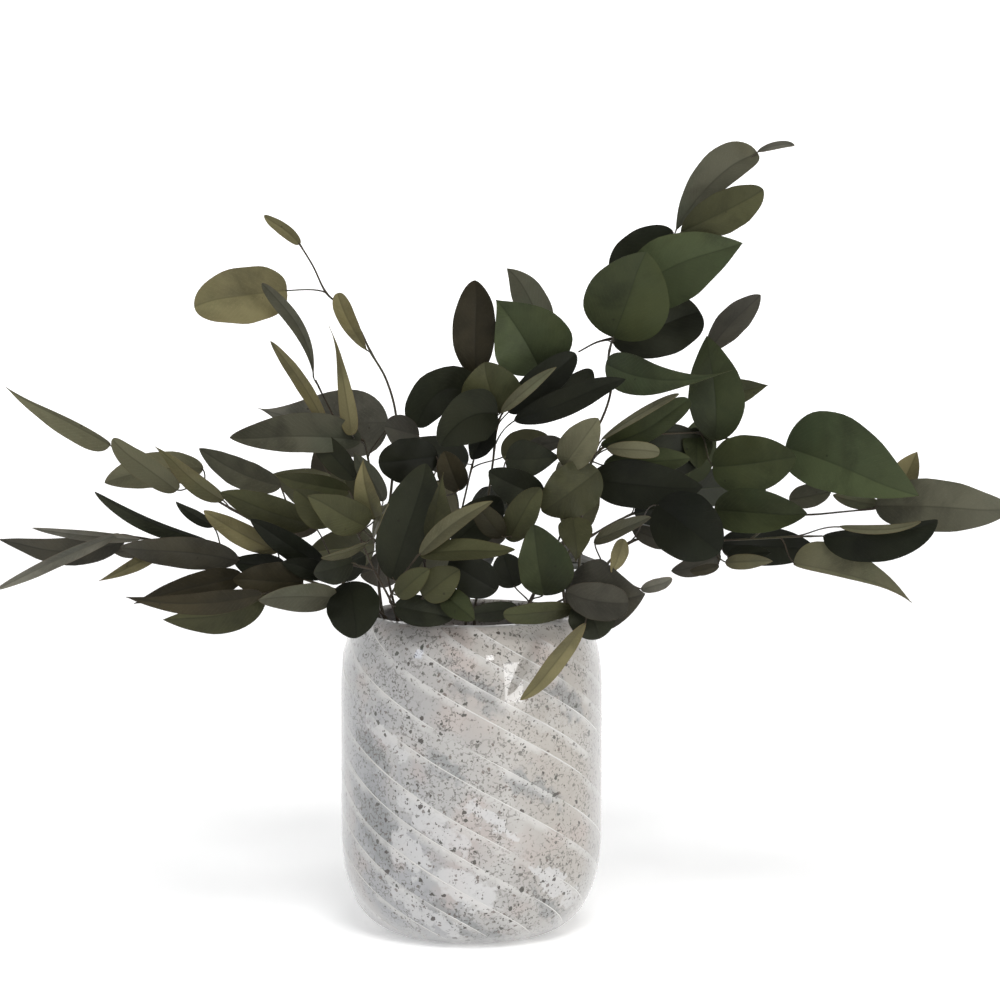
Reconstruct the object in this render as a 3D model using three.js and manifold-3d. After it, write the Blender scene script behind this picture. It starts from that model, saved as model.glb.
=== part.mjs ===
// Dried stuartiana eucalyptus in a rounded art-glass vase.
// Millimetres, +Z up, origin at the middle of the vase's flat foot, and the front of the bunch faces -Y.
import * as THREE from "three";
import { mergeVertices } from "three/addons/utils/BufferGeometryUtils.js";
import Module from "manifold-3d";

const wasm = await Module();
wasm.setup();

// Vase
const VASE_HEIGHT = 226;
const BODY_RADIUS = 92;
const FOOT_RADIUS = 43;
const LIP_RADIUS = 72.3;
const MOUTH_RADIUS = 69.5;
const CORNER_HEIGHT = 77;
const SHOULDER_START = 170;
const WALL = 5.5;
const FLOOR_HEIGHT = 9;
const FLOOR_RADIUS = 39;
const CORNER_POWER = 2.4;
const SHOULDER_POWER = 2.2;
const CORNER_ROWS = [0.985, 0.92, 0.8, 0.62, 0.36];
const SHOULDER_ROWS = [0.35, 0.62, 0.82, 0.94];
const FLOOR_ROWS = [0.45, 0.8];
const LIP_STEP = 0.5;
const LIP_TOP_DROP = 1;
const LIP_DROP = 3;
const NECK_WIDER = 4.5;
const NECK_DROP = 8.5;
const INNER_SHOULDER_IN = 4;
const INNER_SHOULDER_DROP = 22;
const VASE_COLUMNS = 36;

// Stems in the vase: each crosses to the other side and leans on the lip
const FOOT_RING = 36;
const RIM_RING = 67;
const RIM_HEIGHT = 226.5;
const CROSSING = THREE.MathUtils.degToRad(115);
const SEAT_GAP = 0.3;

// The stems are listed as they look from the front, from the eye. Away from the mouth the bunch opens out
// to the front and back, and its top leans back, so each place is moved straight away from the eye.
const EYE = new THREE.Vector3(20, -2400, 542);
const OPENING = 0.75;
const OPENING_START = 70;
const OPENING_END = 240;
const LEAN = 0.3;
const LEAN_START = 330;

// Woody parts
const STEM_RADIUS = 1.7;
const STEM_TIP_RADIUS = 0.6;
const TWIG_RADIUS = 0.95;
const TWIG_TIP_RADIUS = 0.6;
const STALK_HALF_WIDTH = 0.65;
const STALK_HALF_DEPTH = 0.5;
const STALK_REACH = 0.35;
const JOINT_BACK = 0.5;
const LONG_STALK = 24;
const STEM_SIDES = 4;
const TWIG_SIDES = 3;
const STEM_STEP = 48;
const TWIG_STEP = 24;
const WOOD_SPACING = 4;
const CURVE_SAMPLES = 12;
const STEEP = 0.8;

// Blades
const BLADE_THICKNESS = 0.66;
const WIDE_LEAF = 28;
const MIDDLE_LEAF = 18;
const FOLDED_LEAF = 31.5;
const WIDE_ROWS = [0.09, 0.32, 0.66, 1];
const MIDDLE_ROWS = [0.12, 0.5, 1];
const NARROW_ROWS = [0.3, 0.7, 1];
const LEAF_ENDS = 55;
const LATE_PEAK = 0.6;
const LATE_POWER = 4;
const TIP_HALF_WIDTH = 0.5;

// Leaf tones, from the darkest to the palest
const TONES = {
  "black": 0x1e1f18,
  "dark": 0x2a2b21,
  "brown": 0x302d21,
  "green": 0x323721,
  "bright": 0x3c422b,
  "olive": 0x3b3b29,
  "mauve": 0x3e3b37,
  "grey": 0x48473d,
  "pale": 0x54523f,
  "ash": 0x64615a,
  "light": 0x666350,
};
const TONE_COLUMN = 12;
const GLASS = 0xcdc9c2;

// Each leaf is one row: its base x, y, z and its tip x, y, z, then its width in mm,
// its roll in degrees (0 faces the front, + turns it to its right), its bow and its sweep
// in hundredths of its length, its fold in degrees, where it is widest in hundredths, and its tone.
// Two more numbers may follow: how much wider its right half is than its left half, and how pointed
// its ends are, both in hundredths.
const STEMS = [
  {
    "name": "stem_left_high", "rim": 163,
    "path": [[-66, 21, 250], [-58, 18, 300], [-54, 12, 340], [-53, 10, 364], [-60, 7, 390], [-70, 4, 408],
      [-78, 2, 425], [-86, 0, 438], [-100, -2, 449], [-110, -4, 469], [-119, -5, 484]],
    "twigs": [],
    "leaves": [
      [-128, -6, 452, -191, -18, 444, 40, 0, 7, 1, 6, 47, "light", 0, 42],
      [-119, -5, 484, -144, -10, 503, 10, 20, 0, 6, 8, 45, "light", 0, 42],
      [-73, 0, 410, -93, -8, 450, 14, 20, 3, -3, 8, 66, "light"],
    ],
  },
  {
    "name": "stem_left_mid", "rim": 146,
    "path": [[-62, 44, 252], [-70, 40, 290], [-72, 34, 322], [-76, 28, 344]],
    "twigs": [[[-76, 28, 344], [-92, 25, 354], [-104, 24, 375], [-110, 22, 388]]],
    "leaves": [
      [-59, 34, 357, -153, 38, 366, 50, 8, 6, -2, 6, 26, "ash"],
      [-78, 18, 345, -169, 4, 345, 30, 10, 6, 6, 8, 42, "grey", 20],
      [-100, 16, 350, -142, 10, 416, 12, 26, 0, 5, 8, 46, "light", 0, 62],
      [-84, 8, 350, -97, 4, 428, 13, 12, 0, 1, 8, 18, "light", 0, 36],
      [-82, 18, 318, -116, 12, 358, 20, 12, 5, 0, 8, 40, "dark"],
      [-111, 14, 390, -145, -32, 457, 12, 20, 0, 10, 14, 70, "grey", 0, 80],
      [-62, 12, 303, -84, 6, 337, 16, 18, 4, 6, 8, 40, "grey"],
    ],
  },
  {
    "name": "stem_left_upper", "rim": 177,
    "path": [[-76, 5, 238], [-100, 4, 251], [-128, 2, 271], [-150, 0, 288], [-170, -2, 300],
      [-192, -3, 313], [-218, -4, 328], [-250, -5, 342]],
    "twigs": [[[-118, 4, 262], [-126, 8, 290], [-134, 8, 314]]],
    "leaves": [
      [-252, -5, 344, -323, -24, 384, 15, 20, 0, 1, 10, 26, "pale", -55, 38],
      [-205, -14, 313, -249, -32, 348, 20, 16, 5, 3, 8, 48, "pale", 0, 42],
      [-188, 4, 327, -259, 12, 315, 26, 8, 5, 7, 6, 42, "pale"],
      [-173, -12, 306, -217, -26, 347, 17, 24, 6, -2, 12, 32, "light"],
      [-134, 8, 314, -190, 0, 342, 22, 8, 5, -5, 8, 42, "grey"],
    ],
  },
  {
    "name": "stem_left_lower", "rim": 193,
    "path": [[-75, -22, 237], [-104, -32, 249], [-140, -38, 262], [-182, -40, 275], [-212, -40, 280],
      [-236, -40, 284]],
    "twigs": [],
    "leaves": [
      [-228, -42, 282, -301, -54, 291, 13, 50, 3, 2, 10, 40, "ash"],
      [-240, -32, 280, -329, -16, 283, 20, 8, 6, -9, 6, 36, "mauve"],
      [-242, -46, 286, -325, -66, 249, 13, 44, 4, 7, 10, 45, "ash"],
      [-222, -32, 276, -248, -26, 271, 12, 18, 4, 0, 8, 45, "mauve"],
      [-210, -48, 278, -254, -62, 256, 11, 22, 3, -2, 8, 34, "light"],
      [-160, -50, 268, -240, -60, 276, 23, 12, 7, 6, 8, 45, "mauve"],
      [-183, -44, 282, -257, -52, 316, 11, 20, 2, -5, 10, 45, "dark", -40],
      [-178, -32, 290, -205, -30, 306, 10, 20, 4, 0, 8, 40, "dark"],
      [-133, -40, 273, -183, -56, 303, 17.5, 12, 5, 0, 8, 45, "light"],
      [-128, -42, 263, -164, -44, 266, 18, 10, 4, 0, 8, 45, "black"],
    ],
  },
  {
    "name": "stem_left_low", "rim": 208,
    "path": [[-70, -38, 236], [-98, -54, 245], [-134, -64, 253]],
    "twigs": [],
    "leaves": [
      [-156, -60, 258, -231, -64, 241, 21, 12, 6, 3, 8, 34, "brown"],
      [-140, -96, 251, -231, -106, 249, 17, 12, 5, -3, 8, 38, "brown", 0, 62],
      [-139, -82, 247, -207, -92, 235, 25, 10, 6, -6, 8, 38, "olive", -8],
      [-92, -72, 245, -142, -96, 248, 22, 14, 5, 4, 8, 45, "grey"],
      [-114, -72, 256, -161, -76, 260, 28, 8, 7, 0, 6, 42, "brown"],
      [-82, -70, 256, -76, -90, 220, 37, 0, 8, 0, 8, 48, "black"],
    ],
  },
  {
    "name": "stem_left_front", "rim": 221,
    "path": [[-56, -56, 243], [-66, -68, 264], [-74, -76, 284], [-82, -78, 304]],
    "twigs": [[[-66, -68, 264], [-84, -68, 268], [-104, -66, 272]]],
    "leaves": [
      [-70, -88, 296, -107, -106, 320, 28, 8, 8, 0, 8, 40, "olive"],
      [-64, -84, 300, -73, -98, 340, 19, 22, 6, 0, 14, 36, "light"],
      [-66, -84, 288, -55, -96, 312, 13, 66, 4, 0, 10, 45, "pale"],
      [-70, -84, 284, -100, -104, 277, 14, 54, 4, 0, 10, 45, "pale"],
      [-80, -78, 270, -106, -90, 264, 22, 8, 6, 0, 8, 45, "dark"],
      [-100, -66, 266, -150, -64, 299, 19, 12, 5, 0, 8, 42, "black"],
      [-108, -58, 294, -171, -50, 317, 24, 10, 5, -2, 8, 42, "olive"],
      [-82, -68, 318, -133, -56, 327, 17, 12, 5, 0, 8, 40, "olive"],
      [-92, -78, 297, -117, -88, 322, 26, 8, 6, 0, 8, 45, "olive"],
      [-96, -74, 262, -127, -80, 272, 16, 12, 5, 0, 8, 45, "black"],
    ],
  },
  {
    "name": "stem_centre_left", "rim": 252,
    "path": [[-26, -61, 242], [-32, -52, 268], [-32, -40, 296], [-28, -30, 322]],
    "twigs": [],
    "leaves": [
      [-54, -56, 256, -28, -50, 334, 40, 8, 7, 0, 7, 45, "dark"],
      [-23, -24, 338, -64, -32, 334, 32, 4, 6, 0, 8, 52, "black"],
      [-27, -64, 281, -19, -70, 331, 22, 8, 6, 0, 20, 28, "olive", 40, 62],
      [-8, -26, 314, -18, -30, 342, 21, 8, 5, 0, 8, 45, "brown"],
      [-12, -32, 278, 22, -40, 309, 30, 6, 5, 0, 8, 48, "dark"],
      [-36, -18, 352, -60, -8, 358, 24, 10, 5, 0, 8, 45, "mauve"],
    ],
  },
  {
    "name": "stem_front", "rim": 232,
    "path": [[-46, -62, 236], [-55, -74, 243], [-47, -86, 260], [-35, -92, 277]],
    "twigs": [[[-50, -70, 240], [-32, -84, 246], [-14, -88, 248]]],
    "leaves": [
      [-34, -93, 277, 15, -106, 314, 15, 32, 3, -5, 10, 42, "pale"],
      [-34, -93, 277, 30, -112, 280, 17, 36, 4, -2, 10, 42, "olive"],
      [-50, -84, 248, -28, -100, 269, 17, 10, 5, 0, 8, 45, "olive"],
      [-32, -88, 248, -8, -98, 268, 24, 8, 6, 0, 8, 45, "olive"],
      [-18, -90, 250, 3, -104, 234, 19, 8, 6, 0, 8, 42, "green"],
      [18, -78, 251, -14, -84, 272, 29, 10, 6, 0, 8, 48, "black"],
      [-52, -78, 240, -12, -92, 234, 22, 16, 5, 0, 8, 45, "dark"],
    ],
  },
  {
    "name": "stem_centre_right", "rim": 298,
    "path": [[40, -66, 240], [50, -66, 262], [60, -62, 283], [66, -56, 302], [74, -48, 322]],
    "twigs": [[[56, -64, 274], [40, -58, 290], [26, -52, 306], [24, -42, 322]]],
    "leaves": [
      [50, -74, 247, 43, -90, 297, 38, 8, 8, 0, 7, 42, "green", 26],
      [30, -68, 252, 22, -74, 276, 23, 5, 6, 0, 8, 48, "black"],
      [26, -60, 283, 46, -74, 322, 22, 8, 6, 0, 8, 48, "olive"],
      [50, -48, 311, 12, -50, 329, 26, 8, 5, 0, 8, 45, "dark"],
      [22, -66, 286, 3, -76, 311, 18, 10, 5, 0, 8, 45, "brown"],
      [88, -46, 330, 49, -62, 303, 37, 4, 7, 0, 7, 45, "olive"],
      [70, -60, 299, 73, -72, 270, 24, 10, 6, 0, 8, 30, "olive"],
      [24, -38, 337, 61, -44, 340, 27, 12, 6, 3, 8, 34, "dark"],
      [64, -48, 333, 87, -60, 366, 26, 10, 6, 0, 8, 45, "pale"],
      [38, -32, 343, 64, -36, 350, 13, 16, 5, 0, 8, 45, "mauve"],
      [32, -68, 238, -4, -74, 234, 15, 16, 5, 0, 8, 45, "dark"],
    ],
  },
  {
    "name": "stem_low_right", "rim": 317,
    "path": [[56, -52, 237], [72, -66, 247], [90, -74, 258], [102, -76, 270]],
    "twigs": [[[72, -68, 247], [82, -84, 246], [78, -94, 236]]],
    "leaves": [
      [66, -70, 256, 117, -86, 247, 50, 0, 7, 8, 7, 42, "mauve", 0, 68],
      [65, -86, 251, 107, -100, 245, 26, 4, 7, 5, 8, 60, "mauve"],
      [78, -82, 246, 88, -92, 220, 33, 0, 6, 0, 8, 50, "dark"],
      [78, -95, 231, 36, -104, 178, 13, 8, 3, 0, 8, 50, "light", 0, 68],
      [116, -82, 252, 136, -90, 259, 9, 10, 5, 0, 8, 55, "ash"],
      [84, -74, 284, 123, -88, 302, 15, 50, 4, 3, 10, 45, "grey"],
      [104, -76, 286, 96, -86, 264, 13, 24, 5, 0, 10, 40, "light"],
      [72, -74, 238, 22, -92, 235, 16, 14, 5, 2, 8, 58, "olive"],
    ],
  },
  {
    "name": "stem_top", "centre": [2, 6],
    "path": [[6, 8, 250], [10, 10, 290], [15, 10, 330], [20, 8, 362], [34, 8, 380], [48, 8, 398]],
    "twigs": [[[19, 9, 356], [10, 4, 374], [3, 2, 392]]],
    "leaves": [
      [3, 2, 392, 5, -8, 459, 31, 5, 6, -1, 10, 48, "brown", -6, 58],
      [49, 2, 394, 18, -14, 446, 60, 6, 8, 4, 20, 38, "bright", 16, 76],
      [53, 16, 414, 26, 20, 468, 26, 10, 5, 6, 8, 42, "grey", 0, 72],
      [19, 0, 366, 8, -18, 402, 44, 5, 7, 0, 8, 45, "olive"],
      [21, -16, 368, 58, -30, 400, 10, 28, 3, 0, 10, 42, "pale"],
      [26, -4, 367, 73, -16, 408, 24, 8, 6, 0, 12, 52, "black"],
      [52, 6, 364, 86, 12, 394, 20, 10, 5, 0, 8, 50, "dark"],
      [30, -14, 362, 105, -30, 395, 20, 10, 5, 3, 8, 46, "black", 0, 62],
      [14, 8, 367, -39, 6, 356, 31, 8, 6, 42, 8, 60, "dark", 10],
      [18, -8, 366, -22, -26, 345, 40, 4, 8, 16, 24, 45, "dark"],
      [12, 2, 360, 1, -4, 334, 20, 10, 5, 0, 8, 45, "black"],
    ],
  },
  {
    "name": "stem_upper_right", "rim": 352,
    "path": [[64, -4, 250], [66, 2, 290], [72, 4, 320], [82, 8, 345], [92, 10, 362], [98, 12, 382],
      [96, 12, 402], [99, 10, 417], [110, 8, 438], [128, 6, 468], [142, 6, 490]],
    "twigs": [[[99, 10, 417], [88, 12, 415], [75, 14, 408]]],
    "leaves": [
      [99, 0, 419, 119, -20, 480, 61, 0, 8, 1, 8, 42, "green"],
      [109, 12, 446, 190, -4, 482, 50, 5, 7, -8, 8, 40, "bright", 8, 66],
      [99, 18, 415, 160, 24, 438, 45, 8, 6, 3, 8, 55, "dark"],
      [141, 14, 493, 97, 22, 463, 30, 5, 6, -1, 8, 50, "dark", 14],
      [146, 2, 492, 202, -14, 521, 30, 5, 6, 1, 7, 54, "olive", 4, 68],
      [143, 10, 493, 197, 0, 549, 28, 4, 6, -7, 8, 70, "grey", -24],
      [199, 0, 548, 224, -10, 553, 6, 20, 0, -6, 8, 50, "ash"],
      [94, -2, 401, 179, -44, 398, 28.5, 4, 5, 8, 8, 22, "bright"],
    ],
  },
  {
    "name": "stem_right_mid", "rim": 335,
    "path": [[72, -34, 246], [76, -32, 280], [78, -28, 315], [86, -22, 338], [102, -17, 349],
      [130, -12, 352], [160, -6, 353]],
    "twigs": [[[160, -6, 353], [170, 2, 376], [169, 4, 407]],
      [[156, -6, 353], [190, 2, 346], [226, -6, 341]]],
    "leaves": [
      [170, -10, 347, 161, -20, 421, 40, 4, 6, 5, 12, 40, "green", 4, 64],
      [166, 4, 409, 202, -6, 448, 21, 8, 5, -4, 8, 50, "mauve", 0, 72],
      [166, 14, 376, 209, 20, 384, 21, 8, 5, 0, 8, 32, "olive"],
      [90, -26, 346, 149, -40, 381, 18, 12, 4, 9, 8, 60, "green"],
      [90, -32, 350, 143, -46, 383, 12, 66, 2, 0, 8, 50, "pale"],
      [100, -8, 337, 168, 0, 342, 40, 6, 6, 0, 7, 45, "dark"],
      [158, -2, 356, 157, -6, 328, 22, 10, 5, 0, 8, 40, "green"],
      [92, -22, 331, 152, -26, 336, 21, 14, 5, 0, 8, 45, "green"],
      [94, -34, 344, 130, -44, 343, 12, 10, 5, 0, 8, 60, "pale"],
      [82, -30, 322, 160, -31, 314, 34, 8, 4, 0, 8, 42, "black"],
      [168, -16, 330, 225, -32, 339, 42, 5, 7, 2, 14, 45, "green"],
      [219, -10, 343, 305, -42, 309, 55, 5, 7, -2, 12, 37, "bright", -24],
      [299, -4, 311, 311, -10, 340, 19, 5, 5, 0, 8, 42, "light", -14, 72],
    ],
  },
  {
    "name": "stem_far_right", "rim": 8,
    "path": [[74, 8, 238], [94, 4, 258], [112, -4, 276], [138, -10, 281], [166, -12, 278], [196, -14, 279],
      [222, -18, 281], [244, -22, 282]],
    "twigs": [[[196, -14, 279], [216, -12, 293], [246, -16, 297], [280, -22, 301]]],
    "leaves": [
      [128, -50, 307, 171, -60, 275, 46, 4, 8, 0, 8, 48, "black"],
      [174, -18, 268, 140, -24, 256, 16, 10, 5, 0, 8, 45, "mauve"],
      [140, -14, 275, 112, -8, 286, 14, 8, 5, 0, 8, 45, "mauve"],
      [174, -8, 275, 243, 2, 270, 28, 8, 6, 0, 8, 42, "black"],
      [169, -24, 300, 232, -40, 297, 34, 14, 7, 0, 22, 42, "green"],
      [281, -22, 303, 374, -36, 299, 37, 5, 7, -2, 8, 40, "grey", -4, 48],
      [244, -32, 283, 320, -54, 293, 25, 12, 5, 3, 10, 50, "black", 56],
      [254, -44, 291, 308, -56, 294, 7, 30, 0, 6, 8, 50, "pale"],
      [224, -26, 263, 305, -44, 242, 22, 8, 5, -3, 8, 28, "pale", -72, 45],
      [222, -10, 306, 251, -12, 312, 17, 10, 5, 0, 8, 45, "grey"],
      [286, -18, 303, 252, -14, 309, 11, 10, 5, 0, 8, 45, "pale"],
      [176, -36, 265, 208, -48, 268, 11, 10, 5, 0, 8, 40, "pale"],
      [178, -24, 268, 208, -30, 272, 13, 10, 5, 0, 8, 40, "black"],
      [172, -30, 262, 152, -34, 258, 8, 10, 5, 0, 8, 50, "brown"],
    ],
  },
  {
    "name": "stem_back_left", "rim": 120,
    "path": [[-44, 74, 244], [-66, 92, 262], [-88, 104, 280], [-104, 110, 298]],
    "twigs": [],
    "leaves": [
      [-104, 112, 298, -146, 124, 312, 32, 160, 7, 0, 8, 40, "olive"],
      [-108, 102, 284, -158, 92, 278, 28, 150, 6, 0, 8, 40, "brown"],
      [-94, 120, 290, -118, 144, 330, 32, 170, 7, 0, 8, 42, "brown"],
      [-84, 96, 284, -98, 76, 326, 26, 190, 6, 0, 8, 42, "olive"],
      [-72, 108, 262, -124, 124, 254, 34, 165, 7, 0, 8, 40, "olive"],
      [-52, 98, 270, -38, 114, 308, 28, 180, 6, 0, 8, 42, "olive"],
      [-54, 100, 252, -84, 138, 236, 32, 150, 7, 0, 8, 42, "brown"],
      [-78, 86, 256, -118, 68, 244, 28, 140, 6, 0, 8, 42, "dark"],
    ],
  },
  {
    "name": "stem_back", "rim": 92,
    "path": [[-6, 80, 246], [-10, 98, 272], [-4, 108, 304], [4, 110, 336]],
    "twigs": [],
    "leaves": [
      [4, 112, 336, -8, 118, 388, 34, 175, 7, 0, 8, 42, "olive"],
      [22, 104, 326, 54, 94, 344, 26, 185, 6, 0, 8, 42, "olive"],
      [-4, 116, 320, -46, 124, 336, 28, 170, 6, 0, 8, 42, "dark"],
      [-2, 118, 286, 34, 148, 288, 30, 160, 7, 0, 8, 42, "dark"],
      [-10, 114, 288, -46, 142, 292, 34, 190, 7, 0, 8, 42, "olive"],
      [-10, 108, 264, 24, 142, 264, 34, 170, 7, 0, 8, 42, "brown"],
      [-16, 102, 258, -48, 136, 246, 32, 180, 7, 0, 8, 42, "olive"],
      [-2, 94, 252, 6, 136, 234, 34, 175, 7, 0, 8, 42, "black"],
      [-14, 92, 282, -42, 80, 312, 26, 200, 6, 0, 8, 42, "pale"],
    ],
  },
  {
    "name": "stem_back_right", "rim": 52,
    "path": [[52, 64, 244], [74, 80, 262], [100, 90, 278], [130, 95, 292], [156, 96, 308]],
    "twigs": [],
    "leaves": [
      [156, 98, 308, 172, 92, 358, 32, 175, 7, 0, 8, 42, "green"],
      [158, 102, 302, 214, 106, 304, 30, 170, 7, 0, 8, 42, "dark"],
      [132, 104, 292, 148, 126, 336, 32, 185, 7, 0, 8, 42, "grey"],
      [118, 90, 292, 104, 74, 334, 28, 170, 6, 0, 8, 42, "black"],
      [124, 102, 280, 172, 128, 272, 34, 165, 7, 0, 8, 42, "dark"],
      [82, 98, 278, 64, 128, 320, 30, 180, 7, 0, 8, 42, "grey"],
      [80, 92, 256, 70, 136, 244, 32, 190, 7, 0, 8, 42, "grey"],
      [72, 74, 272, 86, 68, 324, 28, 180, 6, 0, 8, 42, "olive"],
      [68, 88, 250, 68, 130, 240, 32, 170, 7, 0, 8, 42, "dark"],
      [118, 88, 286, 160, 70, 300, 26, 200, 6, 0, 8, 42, "black"],
    ],
  },
];

// A place of the list as a vector, moved away from the eye as the bunch opens out.
function point([x, y, z]) {
  const reach = Math.hypot(x, z - RIM_HEIGHT);
  const open = 1 + OPENING * THREE.MathUtils.smoothstep(reach, OPENING_START, OPENING_END);
  const depth = y * open + LEAN * Math.max(0, z - LEAN_START);
  return new THREE.Vector3(x, y, z).sub(EYE).multiplyScalar((depth - EYE.y) / (y - EYE.y)).add(EYE);
}

// A closed mesh of the given vertices and triangles as a solid.
function solid(vertices, triangles) {
  const mesh = new wasm.Mesh({
    numProp: 3,
    vertProperties: new Float32Array(vertices.flatMap((v) => [v.x, v.y, v.z])),
    triVerts: new Uint32Array(triangles.flat()),
  });
  return new wasm.Manifold(mesh);
}

// A solid as a three.js geometry with flat faces.
function geometryOf(made) {
  const mesh = made.getMesh();
  const geometry = new THREE.BufferGeometry();
  geometry.setAttribute("position", new THREE.BufferAttribute(mesh.vertProperties, 3));
  geometry.setIndex(new THREE.BufferAttribute(mesh.triVerts, 1));
  geometry.computeVertexNormals();
  return geometry;
}

// A rounded corner between two radii: t runs from 0 at the wide end to 1 at the narrow end.
function cornerRadius(wide, narrow, t, power) {
  return narrow + (wide - narrow) * Math.pow(1 - Math.pow(t, power), 1 / power);
}

// The closed wall profile, from the middle of the foot round the lip to the middle of the floor.
function vaseProfile() {
  const outline = [];
  const add = (radius, height) => outline.push(new THREE.Vector2(radius, height));
  add(0, 0);
  add(FOOT_RADIUS, 0);
  for (const t of CORNER_ROWS) {
    add(cornerRadius(BODY_RADIUS, FOOT_RADIUS, t, CORNER_POWER), CORNER_HEIGHT * (1 - t));
  }
  add(BODY_RADIUS, CORNER_HEIGHT);
  add(BODY_RADIUS, SHOULDER_START);
  const shoulder = VASE_HEIGHT - SHOULDER_START;
  for (const t of SHOULDER_ROWS) {
    add(cornerRadius(BODY_RADIUS, LIP_RADIUS, t, SHOULDER_POWER), SHOULDER_START + shoulder * t);
  }
  add(LIP_RADIUS, VASE_HEIGHT);
  add(MOUTH_RADIUS + LIP_STEP, VASE_HEIGHT - LIP_TOP_DROP);
  add(MOUTH_RADIUS, VASE_HEIGHT - LIP_DROP);
  add(MOUTH_RADIUS + NECK_WIDER, VASE_HEIGHT - NECK_DROP);
  add(BODY_RADIUS - WALL - INNER_SHOULDER_IN, VASE_HEIGHT - INNER_SHOULDER_DROP);
  add(BODY_RADIUS - WALL, SHOULDER_START);
  add(BODY_RADIUS - WALL, CORNER_HEIGHT);
  for (const t of FLOOR_ROWS) {
    const height = CORNER_HEIGHT - (CORNER_HEIGHT - FLOOR_HEIGHT) * t;
    add(cornerRadius(BODY_RADIUS - WALL, FLOOR_RADIUS, t, CORNER_POWER), height);
  }
  add(FLOOR_RADIUS, FLOOR_HEIGHT);
  add(0, FLOOR_HEIGHT);
  return outline;
}

// The vase: its wall turned round the upright axis.
function vaseGeometry() {
  const geometry = new THREE.LatheGeometry(vaseProfile(), VASE_COLUMNS);
  geometry.rotateX(Math.PI / 2);
  geometry.deleteAttribute("normal");
  geometry.deleteAttribute("uv");
  const merged = mergeVertices(geometry, 1e-3);
  merged.computeVertexNormals();
  return merged;
}

// The two points of a stem inside the vase: its cut foot, and where it leans on the lip.
function standing(stem) {
  if (stem.centre) {
    const [x, y] = stem.centre;
    return [new THREE.Vector3(x, y, FLOOR_HEIGHT + SEAT_GAP), new THREE.Vector3(x, y, RIM_HEIGHT)];
  }
  const rim = THREE.MathUtils.degToRad(stem.rim);
  const foot = rim + CROSSING;
  const low = new THREE.Vector3(FOOT_RING * Math.cos(foot), FOOT_RING * Math.sin(foot), FLOOR_HEIGHT);
  const high = new THREE.Vector3(RIM_RING * Math.cos(rim), RIM_RING * Math.sin(rim), RIM_HEIGHT);
  const lean = high.clone().sub(low).normalize();
  low.z += SEAT_GAP + STEM_RADIUS * Math.hypot(lean.x, lean.y);
  return [low, high];
}

// Points evenly spaced along a line of points, about one step apart.
function spaced(fine, step) {
  const reach = [0];
  for (let i = 1; i < fine.length; i++) reach.push(reach[i - 1] + fine[i].distanceTo(fine[i - 1]));
  const steps = Math.max(2, Math.round(reach.at(-1) / step));
  const made = [];
  let i = 1;
  for (let k = 0; k <= steps; k++) {
    const goal = (reach.at(-1) * k) / steps;
    while (i < fine.length - 1 && reach[i] < goal) i++;
    const share = (goal - reach[i - 1]) / (reach[i] - reach[i - 1]);
    made.push(fine[i - 1].clone().lerp(fine[i], share));
  }
  return made;
}

// The smooth curve through a stem's or twig's points, as a line of short steps.
function smooth(points) {
  return new THREE.CatmullRomCurve3(points).getPoints(CURVE_SAMPLES * (points.length - 1));
}

// A tapered rod through the points, closed at both ends.
function rod(points, startRadius, endRadius, sides) {
  const vertices = [];
  const triangles = [];
  const last = points.length - 1;
  let across = null;
  points.forEach((centre, i) => {
    const ahead = points[Math.min(i + 1, last)].clone().sub(points[Math.max(i - 1, 0)]).normalize();
    if (!across) across = new THREE.Vector3(...(Math.abs(ahead.x) < STEEP ? [1, 0, 0] : [0, 1, 0]));
    across = across.clone().addScaledVector(ahead, -across.dot(ahead)).normalize();
    const other = ahead.clone().cross(across);
    const radius = THREE.MathUtils.lerp(startRadius, endRadius, i / last);
    for (let k = 0; k < sides; k++) {
      const angle = (2 * Math.PI * k) / sides;
      const rim = centre.clone().addScaledVector(across, radius * Math.cos(angle));
      vertices.push(rim.addScaledVector(other, radius * Math.sin(angle)));
    }
  });
  for (let i = 0; i < last; i++) {
    for (let k = 0; k < sides; k++) {
      const next = (k + 1) % sides;
      const [a, b] = [i * sides + k, i * sides + next];
      triangles.push([a, b, b + sides], [a, b + sides, a + sides]);
    }
  }
  for (let k = 1; k < sides - 1; k++) {
    triangles.push([0, k + 1, k], [last * sides, last * sides + k, last * sides + k + 1]);
  }
  return solid(vertices, triangles);
}

// How wide a blade is at u, from 0 at its base to 1 at its tip, as a share of its greatest width.
function bladeShare(u, peak, ends) {
  const basePower = ends + LATE_POWER * Math.max(0, peak - LATE_PEAK);
  const tipPower = (basePower * (1 - peak)) / peak;
  return u < 1 ? Math.pow(u / peak, basePower) * Math.pow((1 - u) / (1 - peak), tipPower) : 0;
}

// The named sizes of one leaf row, with the three directions of its blade.
function readLeaf(row) {
  const [width, roll, bow, sweep, fold, peak, , skew = 0, ends = LEAF_ENDS] = row.slice(6);
  const base = point(row.slice(0, 3));
  const ahead = point(row.slice(3, 6)).sub(base);
  const length = ahead.length();
  ahead.normalize();
  const front = new THREE.Vector3(0, -1, 0).addScaledVector(ahead, ahead.y).normalize();
  const face = front.applyAxisAngle(ahead, THREE.MathUtils.degToRad(-roll));
  const right = ahead.clone().cross(face);
  const bends = { bow: bow / 100, sweep: sweep / 100 };
  const outline = { width, peak: peak / 100, skew: skew / 100, ends: ends / 100, fold };
  return { base, length, ahead, face, right, ...bends, ...outline };
}

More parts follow.
